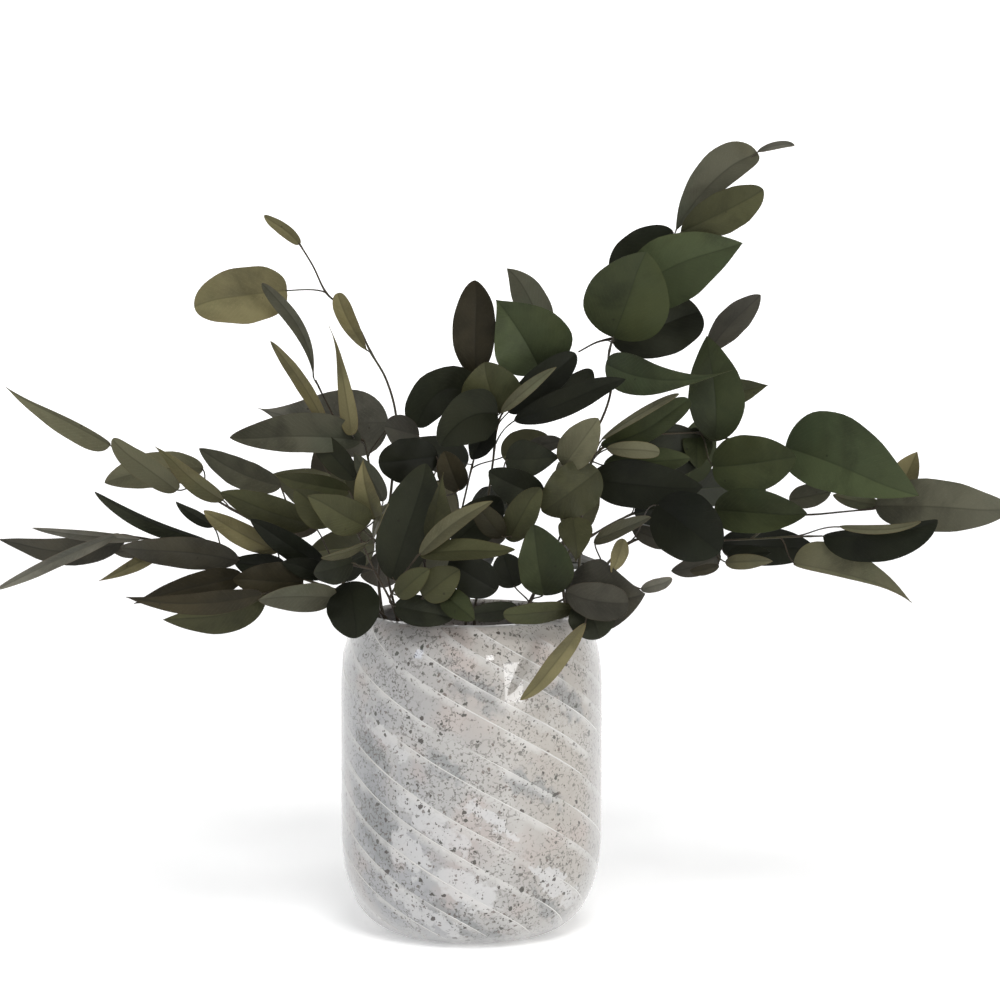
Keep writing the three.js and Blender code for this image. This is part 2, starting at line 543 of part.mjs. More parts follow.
// The midrib's place at u.
function midrib(leaf, u) {
  const arch = 4 * u * (1 - u) * leaf.length;
  return leaf.base.clone()
    .addScaledVector(leaf.ahead, leaf.length * u)
    .addScaledVector(leaf.face, leaf.bow * arch)
    .addScaledVector(leaf.right, leaf.sweep * arch);
}

// The blade's own directions at u: along the midrib, to its right and out of its face.
function bladeFrame(leaf, u) {
  const slope = 4 - 8 * u;
  const heading = leaf.ahead.clone()
    .addScaledVector(leaf.face, leaf.bow * slope)
    .addScaledVector(leaf.right, leaf.sweep * slope)
    .normalize();
  const right = leaf.right.clone().addScaledVector(heading, -heading.dot(leaf.right)).normalize();
  return { heading, right, face: right.clone().cross(heading) };
}

// The rows of a leaf from the wood to its tip: a centre, half a width, half a depth, and its directions.
function leafRows(leaf, woods) {
  const { place, ahead } = joint(woods, leaf.base);
  const span = place.distanceTo(leaf.base);
  const start = bladeFrame(leaf, 0);
  const nearWood = place.clone().addScaledVector(ahead, STALK_REACH * span);
  const nearLeaf = leaf.base.clone().addScaledVector(start.heading, -STALK_REACH * span);
  const stalk = new THREE.CubicBezierCurve3(place, nearWood, nearLeaf, leaf.base);
  const steps = span > LONG_STALK ? 2 : 1;
  const rows = [];
  let { heading, right, face } = start;
  for (let k = steps; k >= 0; k--) {
    const turn = new THREE.Quaternion().setFromUnitVectors(heading, stalk.getTangent(k / steps));
    heading = stalk.getTangent(k / steps);
    right = right.clone().applyQuaternion(turn);
    face = face.clone().applyQuaternion(turn);
    const size = { half: STALK_HALF_WIDTH, deep: STALK_HALF_DEPTH, skew: 0 };
    rows.unshift({ centre: stalk.getPoint(k / steps), right, face, ...size });
  }
  const shares = leaf.width >= WIDE_LEAF ? WIDE_ROWS : leaf.width >= MIDDLE_LEAF ? MIDDLE_ROWS : NARROW_ROWS;
  for (const u of shares) {
    const half = Math.max(TIP_HALF_WIDTH, (leaf.width / 2) * bladeShare(u, leaf.peak, leaf.ends));
    const size = { half, deep: BLADE_THICKNESS / 2, skew: u < 1 ? leaf.skew : 0 };
    rows.push({ centre: midrib(leaf, u), ...bladeFrame(leaf, u), ...size });
  }
  return rows;
}

// A leaf with its stalk: rows of left edge, midrib and right edge on both faces, split into triangles alike.
// A narrow leaf is flat across and has no midrib column.
function leafSolid(leaf, woods) {
  const vertices = [];
  const triangles = [];
  const folded = leaf.width >= FOLDED_LEAF;
  const columns = folded ? [-1, 0, 1] : [-1, 1];
  const fold = folded ? THREE.MathUtils.degToRad(leaf.fold) : 0;
  const rows = leafRows(leaf, woods);
  for (const row of rows) {
    for (const side of [1, -1]) {
      for (const across of columns) {
        const reach = row.half * across * (1 + across * row.skew);
        const edge = row.centre.clone().addScaledVector(row.right, reach * Math.cos(fold));
        const lift = Math.abs(reach) * Math.sin(fold) + (side * row.deep) / Math.cos(fold);
        vertices.push(edge.addScaledVector(row.face, lift));
      }
    }
  }
  const n = columns.length;
  const end = (rows.length - 1) * 2 * n;
  for (let here = 0; here < end; here += 2 * n) {
    const next = here + 2 * n;
    for (let c = 0; c < n - 1; c++) {
      triangles.push([here + c, here + c + 1, next + c + 1], [here + c, next + c + 1, next + c]);
      const [a, b] = [here + n + c, next + n + c];
      triangles.push([a, b + 1, a + 1], [a, b, b + 1]);
    }
    triangles.push([here, next, next + n], [here, next + n, here + n]);
    const [c, d] = [here + n - 1, next + n - 1];
    triangles.push([c, d + n, d], [c, c + n, d + n]);
  }
  for (let c = 0; c < n - 1; c++) {
    triangles.push([c, c + n, c + n + 1], [c, c + n + 1, c + 1]);
    triangles.push([end + c, end + c + n + 1, end + c + n], [end + c, end + c + 1, end + c + n + 1]);
  }
  return solid(vertices, triangles);
}

// Where a leaf grows from: the nearest place on the wood, and then back along it, with its direction.
function joint(woods, target) {
  let best = null;
  for (const wood of woods) {
    wood.forEach((place, i) => {
      const distance = place.distanceTo(target);
      if (!best || distance < best.distance) best = { wood, i, distance };
    });
  }
  const back = Math.round((JOINT_BACK * best.distance) / WOOD_SPACING);
  const i = Math.max(1, best.i - back);
  const place = best.wood[i];
  const ahead = place.clone().sub(best.wood[i - 1]).normalize();
  return { place, ahead };
}

// A leafy stem: its wood, twigs, stalks and blades, joined into one solid.
function stemSolid(stem) {
  const points = [...standing(stem), ...stem.path.map(point)];
  const line = [points[0], ...spaced(smooth(points.slice(1)), STEM_STEP)];
  const pieces = [rod(line, STEM_RADIUS, STEM_TIP_RADIUS, STEM_SIDES)];
  const woods = [spaced(line, WOOD_SPACING)];
  for (const list of stem.twigs) {
    const places = list.map(point);
    places[0] = joint(woods, places[0]).place.clone();
    const twig = spaced(smooth(places), TWIG_STEP);
    pieces.push(rod(twig, TWIG_RADIUS, TWIG_TIP_RADIUS, TWIG_SIDES));
    woods.push(spaced(twig, WOOD_SPACING));
  }
  for (const row of stem.leaves) pieces.push(leafSolid(readLeaf(row), woods));
  return largest(wasm.Manifold.union(pieces));
}

// The main body of a union, without the specks that crossing blades leave behind.
function largest(made) {
  const bodies = made.decompose();
  return bodies.reduce((best, body) => (body.volume() > best.volume() ? body : best));
}

const group = new THREE.Group();

const glass = new THREE.MeshStandardMaterial({ color: GLASS, roughness: 0.12, metalness: 0 });
const vase = new THREE.Mesh(vaseGeometry(), glass);
vase.name = "vase";
group.add(vase);

for (const stem of STEMS) {
  const tone = TONES[stem.leaves[0][TONE_COLUMN]];
  const foliage = new THREE.MeshStandardMaterial({ color: tone, roughness: 0.75, metalness: 0 });
  const mesh = new THREE.Mesh(geometryOf(stemSolid(stem)), foliage);
  mesh.name = stem.name;
  group.add(mesh);
}

export default group;
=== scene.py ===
# The finish, the fine leaves, the stage and the camera of a dried stuartiana eucalyptus in a glass vase.
import math
import random

import bpy
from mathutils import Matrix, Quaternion, Vector


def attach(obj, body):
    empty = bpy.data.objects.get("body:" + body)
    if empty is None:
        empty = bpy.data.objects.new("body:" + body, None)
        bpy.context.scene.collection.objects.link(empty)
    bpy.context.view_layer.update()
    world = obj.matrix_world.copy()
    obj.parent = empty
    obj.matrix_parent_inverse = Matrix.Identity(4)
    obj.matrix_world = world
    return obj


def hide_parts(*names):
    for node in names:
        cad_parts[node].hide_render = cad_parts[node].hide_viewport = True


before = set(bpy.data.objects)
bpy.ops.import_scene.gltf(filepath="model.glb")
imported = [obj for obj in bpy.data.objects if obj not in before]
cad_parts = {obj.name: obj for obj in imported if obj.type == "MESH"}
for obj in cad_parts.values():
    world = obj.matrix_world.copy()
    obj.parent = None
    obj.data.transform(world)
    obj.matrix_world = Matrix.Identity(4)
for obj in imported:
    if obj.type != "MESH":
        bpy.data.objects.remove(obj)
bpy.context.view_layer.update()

# Sizes are in millimetres here, and meshes are written in metres.
MM = 0.001

# Vase
VASE_HEIGHT = 226
BODY_RADIUS = 92
FOOT_RADIUS = 43
FOOT_BEVEL = 1.5
LIP_RADIUS = 72.3
LIP_BEVEL = 0.6
LIP_OUTSIDE = (0.3, 0.15)
LIP_INSIDE = (0.5, 0.7)
MOUTH_RADIUS = 69.5
THROAT_HEIGHT = 223
CORNER_HEIGHT = 77
SHOULDER_START = 170
WALL = 5.5
FLOOR_HEIGHT = 9
FLOOR_RADIUS = 39
CORNER_POWER = 2.4
SHOULDER_POWER = 2.2
CORNER_STEPS = 22
BODY_STEPS = 16
SHOULDER_STEPS = 16
INSIDE_STEPS = 12
VASE_COLUMNS = 180

# Edges sharper than these are creased, in degrees.
VASE_CREASE = 75
THREAD_CREASE = 80
STEM_CREASE = 50
STAGE_CREASE = 60

# The white threads wound round the vase: where each crosses the front, and how far it falls in a turn.
# Ten cross the front. The rest reach the foot before it, and show at the sides and back only.
THREAD_HEIGHTS = [227, 211, 189, 170, 143, 119, 88, 65, 41, 18, -6, -30, -52, -76]
THREAD_FALL = 324
THREAD_TOP_GAP = 0.5
THREAD_FOOT = 6
THREAD_RADIUS = 0.85
THREAD_SINK = 0.45
THREAD_SIDES = 6
THREAD_STEP = 2.2
THREAD_OVERLAP = 0.05
THREAD_SWELL = 0.3
THREAD_BEATS = (0.11, 0.043)
THREAD_STARTS = (0, 50)
THREAD_END = 0.35
THREAD_TAPER_STEPS = 12

# Patches on the front of the vase: x, y and the height at the front of the thread that would pass there,
# then half the width and half the height
DUSKY_PATCHES = [
    ((2, -90, 188), 30, 16),
    ((41, -82, 140), 24, 12),
    ((-66, -64, 46), 20, 36),
    ((0, -86, 16), 60, 13),
    ((58, -66, 63), 22, 12),
    ((-17, -90, 122), 22, 10),
    ((66, -64, 214), 20, 14),
    ((-70, -58, 94), 16, 16),
]
MILKY_PATCHES = [
    ((-25, -88, 76), 30, 12),
    ((-43, -80, 46), 16, 15),
    ((-3, -90, 44), 24, 12),
    ((-44, -76, 8), 14, 12),
    ((60, -68, 82), 18, 8),
    ((-55, -72, 114), 16, 7),
    ((12, -90, 102), 22, 6),
    ((-20, -88, 6), 18, 9),
]
PATCH_DEPTH = 90
DUSKY_CORE = 0.4
MILKY_CORE = 0.72

# Stems in the vase: each crosses to the other side and leans on the lip.
FOOT_RING = 36
RIM_RING = 67
RIM_HEIGHT = 226.5
CROSSING = math.radians(115)
SEAT_GAP = 0.3

# The stems are listed as they look from the front, from the eye. Away from the mouth the bunch opens out
# to the front and back, and its top leans back, so each place is moved straight away from the eye.
EYE = Vector((20, -2400, 542))
OPENING = 0.75
OPENING_START = 70
OPENING_END = 240
LEAN = 0.3
LEAN_START = 330

# Woody parts
STEM_RADIUS = 1.6
STEM_TIP_RADIUS = 0.6
TWIG_RADIUS = 0.9
TWIG_TIP_RADIUS = 0.55
WOOD_SIDES = 10
WOOD_STEP = 3
CURVE_SAMPLES = 24
ALONG_X = 0.8
NODE_SWELL = 0.35
NODE_REACH = 3.5
JOINT_BACK = 0.5
STALK_RADIUS = 0.6
STALK_TIP_RADIUS = 0.5
STALK_HANDLE = 0.35
STALK_LEAVING = 0.4
STALK_ARRIVING = 0.5
STALK_OVERLAP = 1.5
STALK_SIDES = 8
STALK_STEPS = 9

# Blades
BLADE_ROWS = 26
SIDE_COLUMNS = 5
MIDRIB_HALF = 0.55
MIDRIB_EDGE = 1.25
MIDRIB_HALF_SHARE = 0.22
MIDRIB_EDGE_SHARE = 0.45
MIDRIB_GROOVE = 0.16
MIDRIB_RIDGE = 0.34
MIDRIB_FADE = 8
BLADE_THICKNESS = 0.42
EDGE_THICKNESS = 0.24
ROW_LENGTH = 13
LEAF_ENDS = 55
LATE_PEAK = 0.6
LATE_POWER = 4
BASE_HALF_WIDTH = 0.6
TIP_HALF_WIDTH = 0.22
TIP_START = 0.7
TWIST_START = 0.35
BASE_TWIST = 0.5
NICK_BEAT = 1.4
FULL_WAVE_WIDTH = 30

# The ranges that each leaf's own irregularities are drawn from
SEEDS = (0, 20)
WAVE = (0.01, 0.035)
NICK = (0.004, 0.018)
HOOK = (-0.5, 0.5)
CURL = (-0.25, 0.6)
WAVES = (1.6, 3.2)
TWIST = (-14, 14)
CUP = (-0.10, 0.06)
SEED = 26

# Each leaf is one row: its base x, y, z and its tip x, y, z, then its width in mm,
# its roll in degrees (0 faces the front, + turns it to its right), its bow and its sweep
# in hundredths of its length, its fold in degrees, where it is widest in hundredths, and its tone.
# Two more numbers may follow: how much wider its right half is than its left half, and how pointed
# its ends are, both in hundredths.
STEMS = [
  {
    "name": "stem_left_high", "rim": 163,
    "path": [[-66, 21, 250], [-58, 18, 300], [-54, 12, 340], [-53, 10, 364], [-60, 7, 390], [-70, 4, 408],
      [-78, 2, 425], [-86, 0, 438], [-100, -2, 449], [-110, -4, 469], [-119, -5, 484]],
    "twigs": [],
    "leaves": [
      [-128, -6, 452, -191, -18, 444, 40, 0, 7, 1, 6, 47, "light", 0, 42],
      [-119, -5, 484, -144, -10, 503, 10, 20, 0, 6, 8, 45, "light", 0, 42],
      [-73, 0, 410, -93, -8, 450, 14, 20, 3, -3, 8, 66, "light"],
    ],
  },
  {
    "name": "stem_left_mid", "rim": 146,
    "path": [[-62, 44, 252], [-70, 40, 290], [-72, 34, 322], [-76, 28, 344]],
    "twigs": [[[-76, 28, 344], [-92, 25, 354], [-104, 24, 375], [-110, 22, 388]]],
    "leaves": [
      [-59, 34, 357, -153, 38, 366, 50, 8, 6, -2, 6, 26, "ash"],
      [-78, 18, 345, -169, 4, 345, 30, 10, 6, 6, 8, 42, "grey", 20],
      [-100, 16, 350, -142, 10, 416, 12, 26, 0, 5, 8, 46, "light", 0, 62],
      [-84, 8, 350, -97, 4, 428, 13, 12, 0, 1, 8, 18, "light", 0, 36],
      [-82, 18, 318, -116, 12, 358, 20, 12, 5, 0, 8, 40, "dark"],
      [-111, 14, 390, -145, -32, 457, 12, 20, 0, 10, 14, 70, "grey", 0, 80],
      [-62, 12, 303, -84, 6, 337, 16, 18, 4, 6, 8, 40, "grey"],
    ],
  },
  {
    "name": "stem_left_upper", "rim": 177,
    "path": [[-76, 5, 238], [-100, 4, 251], [-128, 2, 271], [-150, 0, 288], [-170, -2, 300],
      [-192, -3, 313], [-218, -4, 328], [-250, -5, 342]],
    "twigs": [[[-118, 4, 262], [-126, 8, 290], [-134, 8, 314]]],
    "leaves": [
      [-252, -5, 344, -323, -24, 384, 15, 20, 0, 1, 10, 26, "pale", -55, 38],
      [-205, -14, 313, -249, -32, 348, 20, 16, 5, 3, 8, 48, "pale", 0, 42],
      [-188, 4, 327, -259, 12, 315, 26, 8, 5, 7, 6, 42, "pale"],
      [-173, -12, 306, -217, -26, 347, 17, 24, 6, -2, 12, 32, "light"],
      [-134, 8, 314, -190, 0, 342, 22, 8, 5, -5, 8, 42, "grey"],
    ],
  },
  {
    "name": "stem_left_lower", "rim": 193,
    "path": [[-75, -22, 237], [-104, -32, 249], [-140, -38, 262], [-182, -40, 275], [-212, -40, 280],
      [-236, -40, 284]],
    "twigs": [],
    "leaves": [
      [-228, -42, 282, -301, -54, 291, 13, 50, 3, 2, 10, 40, "ash"],
      [-240, -32, 280, -329, -16, 283, 20, 8, 6, -9, 6, 36, "mauve"],
      [-242, -46, 286, -325, -66, 249, 13, 44, 4, 7, 10, 45, "ash"],
      [-222, -32, 276, -248, -26, 271, 12, 18, 4, 0, 8, 45, "mauve"],
      [-210, -48, 278, -254, -62, 256, 11, 22, 3, -2, 8, 34, "light"],
      [-160, -50, 268, -240, -60, 276, 23, 12, 7, 6, 8, 45, "mauve"],
      [-183, -44, 282, -257, -52, 316, 11, 20, 2, -5, 10, 45, "dark", -40],
      [-178, -32, 290, -205, -30, 306, 10, 20, 4, 0, 8, 40, "dark"],
      [-133, -40, 273, -183, -56, 303, 17.5, 12, 5, 0, 8, 45, "light"],
      [-128, -42, 263, -164, -44, 266, 18, 10, 4, 0, 8, 45, "black"],
    ],
  },
  {
    "name": "stem_left_low", "rim": 208,
    "path": [[-70, -38, 236], [-98, -54, 245], [-134, -64, 253]],
    "twigs": [],
    "leaves": [
      [-156, -60, 258, -231, -64, 241, 21, 12, 6, 3, 8, 34, "brown"],
      [-140, -96, 251, -231, -106, 249, 17, 12, 5, -3, 8, 38, "brown", 0, 62],
      [-139, -82, 247, -207, -92, 235, 25, 10, 6, -6, 8, 38, "olive", -8],
      [-92, -72, 245, -142, -96, 248, 22, 14, 5, 4, 8, 45, "grey"],
      [-114, -72, 256, -161, -76, 260, 28, 8, 7, 0, 6, 42, "brown"],
      [-82, -70, 256, -76, -90, 220, 37, 0, 8, 0, 8, 48, "black"],
    ],
  },
  {
    "name": "stem_left_front", "rim": 221,
    "path": [[-56, -56, 243], [-66, -68, 264], [-74, -76, 284], [-82, -78, 304]],
    "twigs": [[[-66, -68, 264], [-84, -68, 268], [-104, -66, 272]]],
    "leaves": [
      [-70, -88, 296, -107, -106, 320, 28, 8, 8, 0, 8, 40, "olive"],
      [-64, -84, 300, -73, -98, 340, 19, 22, 6, 0, 14, 36, "light"],
      [-66, -84, 288, -55, -96, 312, 13, 66, 4, 0, 10, 45, "pale"],
      [-70, -84, 284, -100, -104, 277, 14, 54, 4, 0, 10, 45, "pale"],
      [-80, -78, 270, -106, -90, 264, 22, 8, 6, 0, 8, 45, "dark"],
      [-100, -66, 266, -150, -64, 299, 19, 12, 5, 0, 8, 42, "black"],
      [-108, -58, 294, -171, -50, 317, 24, 10, 5, -2, 8, 42, "olive"],
      [-82, -68, 318, -133, -56, 327, 17, 12, 5, 0, 8, 40, "olive"],
      [-92, -78, 297, -117, -88, 322, 26, 8, 6, 0, 8, 45, "olive"],
      [-96, -74, 262, -127, -80, 272, 16, 12, 5, 0, 8, 45, "black"],
    ],
  },
  {
    "name": "stem_centre_left", "rim": 252,
    "path": [[-26, -61, 242], [-32, -52, 268], [-32, -40, 296], [-28, -30, 322]],
    "twigs": [],
    "leaves": [
      [-54, -56, 256, -28, -50, 334, 40, 8, 7, 0, 7, 45, "dark"],
      [-23, -24, 338, -64, -32, 334, 32, 4, 6, 0, 8, 52, "black"],
      [-27, -64, 281, -19, -70, 331, 22, 8, 6, 0, 20, 28, "olive", 40, 62],
      [-8, -26, 314, -18, -30, 342, 21, 8, 5, 0, 8, 45, "brown"],
      [-12, -32, 278, 22, -40, 309, 30, 6, 5, 0, 8, 48, "dark"],
      [-36, -18, 352, -60, -8, 358, 24, 10, 5, 0, 8, 45, "mauve"],
    ],
  },
  {
    "name": "stem_front", "rim": 232,
    "path": [[-46, -62, 236], [-55, -74, 243], [-47, -86, 260], [-35, -92, 277]],
    "twigs": [[[-50, -70, 240], [-32, -84, 246], [-14, -88, 248]]],
    "leaves": [
      [-34, -93, 277, 15, -106, 314, 15, 32, 3, -5, 10, 42, "pale"],
      [-34, -93, 277, 30, -112, 280, 17, 36, 4, -2, 10, 42, "olive"],
      [-50, -84, 248, -28, -100, 269, 17, 10, 5, 0, 8, 45, "olive"],
      [-32, -88, 248, -8, -98, 268, 24, 8, 6, 0, 8, 45, "olive"],
      [-18, -90, 250, 3, -104, 234, 19, 8, 6, 0, 8, 42, "green"],
      [18, -78, 251, -14, -84, 272, 29, 10, 6, 0, 8, 48, "black"],
      [-52, -78, 240, -12, -92, 234, 22, 16, 5, 0, 8, 45, "dark"],
    ],
  },
  {
    "name": "stem_centre_right", "rim": 298,
    "path": [[40, -66, 240], [50, -66, 262], [60, -62, 283], [66, -56, 302], [74, -48, 322]],
    "twigs": [[[56, -64, 274], [40, -58, 290], [26, -52, 306], [24, -42, 322]]],
    "leaves": [
      [50, -74, 247, 43, -90, 297, 38, 8, 8, 0, 7, 42, "green", 26],
      [30, -68, 252, 22, -74, 276, 23, 5, 6, 0, 8, 48, "black"],
      [26, -60, 283, 46, -74, 322, 22, 8, 6, 0, 8, 48, "olive"],
      [50, -48, 311, 12, -50, 329, 26, 8, 5, 0, 8, 45, "dark"],
      [22, -66, 286, 3, -76, 311, 18, 10, 5, 0, 8, 45, "brown"],
      [88, -46, 330, 49, -62, 303, 37, 4, 7, 0, 7, 45, "olive"],
      [70, -60, 299, 73, -72, 270, 24, 10, 6, 0, 8, 30, "olive"],
      [24, -38, 337, 61, -44, 340, 27, 12, 6, 3, 8, 34, "dark"],
      [64, -48, 333, 87, -60, 366, 26, 10, 6, 0, 8, 45, "pale"],
      [38, -32, 343, 64, -36, 350, 13, 16, 5, 0, 8, 45, "mauve"],
      [32, -68, 238, -4, -74, 234, 15, 16, 5, 0, 8, 45, "dark"],
    ],
  },
  {
    "name": "stem_low_right", "rim": 317,
    "path": [[56, -52, 237], [72, -66, 247], [90, -74, 258], [102, -76, 270]],
    "twigs": [[[72, -68, 247], [82, -84, 246], [78, -94, 236]]],
    "leaves": [
      [66, -70, 256, 117, -86, 247, 50, 0, 7, 8, 7, 42, "mauve", 0, 68],
      [65, -86, 251, 107, -100, 245, 26, 4, 7, 5, 8, 60, "mauve"],
      [78, -82, 246, 88, -92, 220, 33, 0, 6, 0, 8, 50, "dark"],
      [78, -95, 231, 36, -104, 178, 13, 8, 3, 0, 8, 50, "light", 0, 68],
      [116, -82, 252, 136, -90, 259, 9, 10, 5, 0, 8, 55, "ash"],
      [84, -74, 284, 123, -88, 302, 15, 50, 4, 3, 10, 45, "grey"],
      [104, -76, 286, 96, -86, 264, 13, 24, 5, 0, 10, 40, "light"],
      [72, -74, 238, 22, -92, 235, 16, 14, 5, 2, 8, 58, "olive"],
    ],
  },
  {
    "name": "stem_top", "centre": [2, 6],
    "path": [[6, 8, 250], [10, 10, 290], [15, 10, 330], [20, 8, 362], [34, 8, 380], [48, 8, 398]],
    "twigs": [[[19, 9, 356], [10, 4, 374], [3, 2, 392]]],
    "leaves": [
      [3, 2, 392, 5, -8, 459, 31, 5, 6, -1, 10, 48, "brown", -6, 58],
      [49, 2, 394, 18, -14, 446, 60, 6, 8, 4, 20, 38, "bright", 16, 76],
      [53, 16, 414, 26, 20, 468, 26, 10, 5, 6, 8, 42, "grey", 0, 72],
      [19, 0, 366, 8, -18, 402, 44, 5, 7, 0, 8, 45, "olive"],
      [21, -16, 368, 58, -30, 400, 10, 28, 3, 0, 10, 42, "pale"],
      [26, -4, 367, 73, -16, 408, 24, 8, 6, 0, 12, 52, "black"],
      [52, 6, 364, 86, 12, 394, 20, 10, 5, 0, 8, 50, "dark"],
      [30, -14, 362, 105, -30, 395, 20, 10, 5, 3, 8, 46, "black", 0, 62],
      [14, 8, 367, -39, 6, 356, 31, 8, 6, 42, 8, 60, "dark", 10],
      [18, -8, 366, -22, -26, 345, 40, 4, 8, 16, 24, 45, "dark"],
      [12, 2, 360, 1, -4, 334, 20, 10, 5, 0, 8, 45, "black"],
    ],
  },
  {
    "name": "stem_upper_right", "rim": 352,
    "path": [[64, -4, 250], [66, 2, 290], [72, 4, 320], [82, 8, 345], [92, 10, 362], [98, 12, 382],
      [96, 12, 402], [99, 10, 417], [110, 8, 438], [128, 6, 468], [142, 6, 490]],
    "twigs": [[[99, 10, 417], [88, 12, 415], [75, 14, 408]]],
    "leaves": [
      [99, 0, 419, 119, -20, 480, 61, 0, 8, 1, 8, 42, "green"],
      [109, 12, 446, 190, -4, 482, 50, 5, 7, -8, 8, 40, "bright", 8, 66],
      [99, 18, 415, 160, 24, 438, 45, 8, 6, 3, 8, 55, "dark"],
      [141, 14, 493, 97, 22, 463, 30, 5, 6, -1, 8, 50, "dark", 14],
      [146, 2, 492, 202, -14, 521, 30, 5, 6, 1, 7, 54, "olive", 4, 68],
      [143, 10, 493, 197, 0, 549, 28, 4, 6, -7, 8, 70, "grey", -24],
      [199, 0, 548, 224, -10, 553, 6, 20, 0, -6, 8, 50, "ash"],
      [94, -2, 401, 179, -44, 398, 28.5, 4, 5, 8, 8, 22, "bright"],
    ],
  },
  {
    "name": "stem_right_mid", "rim": 335,
    "path": [[72, -34, 246], [76, -32, 280], [78, -28, 315], [86, -22, 338], [102, -17, 349],
      [130, -12, 352], [160, -6, 353]],
    "twigs": [[[160, -6, 353], [170, 2, 376], [169, 4, 407]],
      [[156, -6, 353], [190, 2, 346], [226, -6, 341]]],
    "leaves": [
      [170, -10, 347, 161, -20, 421, 40, 4, 6, 5, 12, 40, "green", 4, 64],
      [166, 4, 409, 202, -6, 448, 21, 8, 5, -4, 8, 50, "mauve", 0, 72],
      [166, 14, 376, 209, 20, 384, 21, 8, 5, 0, 8, 32, "olive"],
      [90, -26, 346, 149, -40, 381, 18, 12, 4, 9, 8, 60, "green"],
      [90, -32, 350, 143, -46, 383, 12, 66, 2, 0, 8, 50, "pale"],
      [100, -8, 337, 168, 0, 342, 40, 6, 6, 0, 7, 45, "dark"],
      [158, -2, 356, 157, -6, 328, 22, 10, 5, 0, 8, 40, "green"],
      [92, -22, 331, 152, -26, 336, 21, 14, 5, 0, 8, 45, "green"],
      [94, -34, 344, 130, -44, 343, 12, 10, 5, 0, 8, 60, "pale"],
      [82, -30, 322, 160, -31, 314, 34, 8, 4, 0, 8, 42, "black"],
      [168, -16, 330, 225, -32, 339, 42, 5, 7, 2, 14, 45, "green"],
      [219, -10, 343, 305, -42, 309, 55, 5, 7, -2, 12, 37, "bright", -24],
      [299, -4, 311, 311, -10, 340, 19, 5, 5, 0, 8, 42, "light", -14, 72],
    ],
  },
  {
    "name": "stem_far_right", "rim": 8,
    "path": [[74, 8, 238], [94, 4, 258], [112, -4, 276], [138, -10, 281], [166, -12, 278], [196, -14, 279],
      [222, -18, 281], [244, -22, 282]],
    "twigs": [[[196, -14, 279], [216, -12, 293], [246, -16, 297], [280, -22, 301]]],
    "leaves": [
      [128, -50, 307, 171, -60, 275, 46, 4, 8, 0, 8, 48, "black"],
      [174, -18, 268, 140, -24, 256, 16, 10, 5, 0, 8, 45, "mauve"],
      [140, -14, 275, 112, -8, 286, 14, 8, 5, 0, 8, 45, "mauve"],
      [174, -8, 275, 243, 2, 270, 28, 8, 6, 0, 8, 42, "black"],
      [169, -24, 300, 232, -40, 297, 34, 14, 7, 0, 22, 42, "green"],
      [281, -22, 303, 374, -36, 299, 37, 5, 7, -2, 8, 40, "grey", -4, 48],
      [244, -32, 283, 320, -54, 293, 25, 12, 5, 3, 10, 50, "black", 56],
      [254, -44, 291, 308, -56, 294, 7, 30, 0, 6, 8, 50, "pale"],
      [224, -26, 263, 305, -44, 242, 22, 8, 5, -3, 8, 28, "pale", -72, 45],
      [222, -10, 306, 251, -12, 312, 17, 10, 5, 0, 8, 45, "grey"],
      [286, -18, 303, 252, -14, 309, 11, 10, 5, 0, 8, 45, "pale"],
      [176, -36, 265, 208, -48, 268, 11, 10, 5, 0, 8, 40, "pale"],
      [178, -24, 268, 208, -30, 272, 13, 10, 5, 0, 8, 40, "black"],
      [172, -30, 262, 152, -34, 258, 8, 10, 5, 0, 8, 50, "brown"],
    ],
  },
  {
    "name": "stem_back_left", "rim": 120,
    "path": [[-44, 74, 244], [-66, 92, 262], [-88, 104, 280], [-104, 110, 298]],
    "twigs": [],
    "leaves": [
      [-104, 112, 298, -146, 124, 312, 32, 160, 7, 0, 8, 40, "olive"],
      [-108, 102, 284, -158, 92, 278, 28, 150, 6, 0, 8, 40, "brown"],
      [-94, 120, 290, -118, 144, 330, 32, 170, 7, 0, 8, 42, "brown"],
      [-84, 96, 284, -98, 76, 326, 26, 190, 6, 0, 8, 42, "olive"],
      [-72, 108, 262, -124, 124, 254, 34, 165, 7, 0, 8, 40, "olive"],
      [-52, 98, 270, -38, 114, 308, 28, 180, 6, 0, 8, 42, "olive"],
      [-54, 100, 252, -84, 138, 236, 32, 150, 7, 0, 8, 42, "brown"],
      [-78, 86, 256, -118, 68, 244, 28, 140, 6, 0, 8, 42, "dark"],
    ],
  },
  {
    "name": "stem_back", "rim": 92,
    "path": [[-6, 80, 246], [-10, 98, 272], [-4, 108, 304], [4, 110, 336]],
    "twigs": [],
    "leaves": [
      [4, 112, 336, -8, 118, 388, 34, 175, 7, 0, 8, 42, "olive"],
      [22, 104, 326, 54, 94, 344, 26, 185, 6, 0, 8, 42, "olive"],
      [-4, 116, 320, -46, 124, 336, 28, 170, 6, 0, 8, 42, "dark"],
      [-2, 118, 286, 34, 148, 288, 30, 160, 7, 0, 8, 42, "dark"],
      [-10, 114, 288, -46, 142, 292, 34, 190, 7, 0, 8, 42, "olive"],
      [-10, 108, 264, 24, 142, 264, 34, 170, 7, 0, 8, 42, "brown"],
      [-16, 102, 258, -48, 136, 246, 32, 180, 7, 0, 8, 42, "olive"],
      [-2, 94, 252, 6, 136, 234, 34, 175, 7, 0, 8, 42, "black"],
      [-14, 92, 282, -42, 80, 312, 26, 200, 6, 0, 8, 42, "pale"],
    ],
  },
  {
    "name": "stem_back_right", "rim": 52,
    "path": [[52, 64, 244], [74, 80, 262], [100, 90, 278], [130, 95, 292], [156, 96, 308]],
    "twigs": [],
    "leaves": [
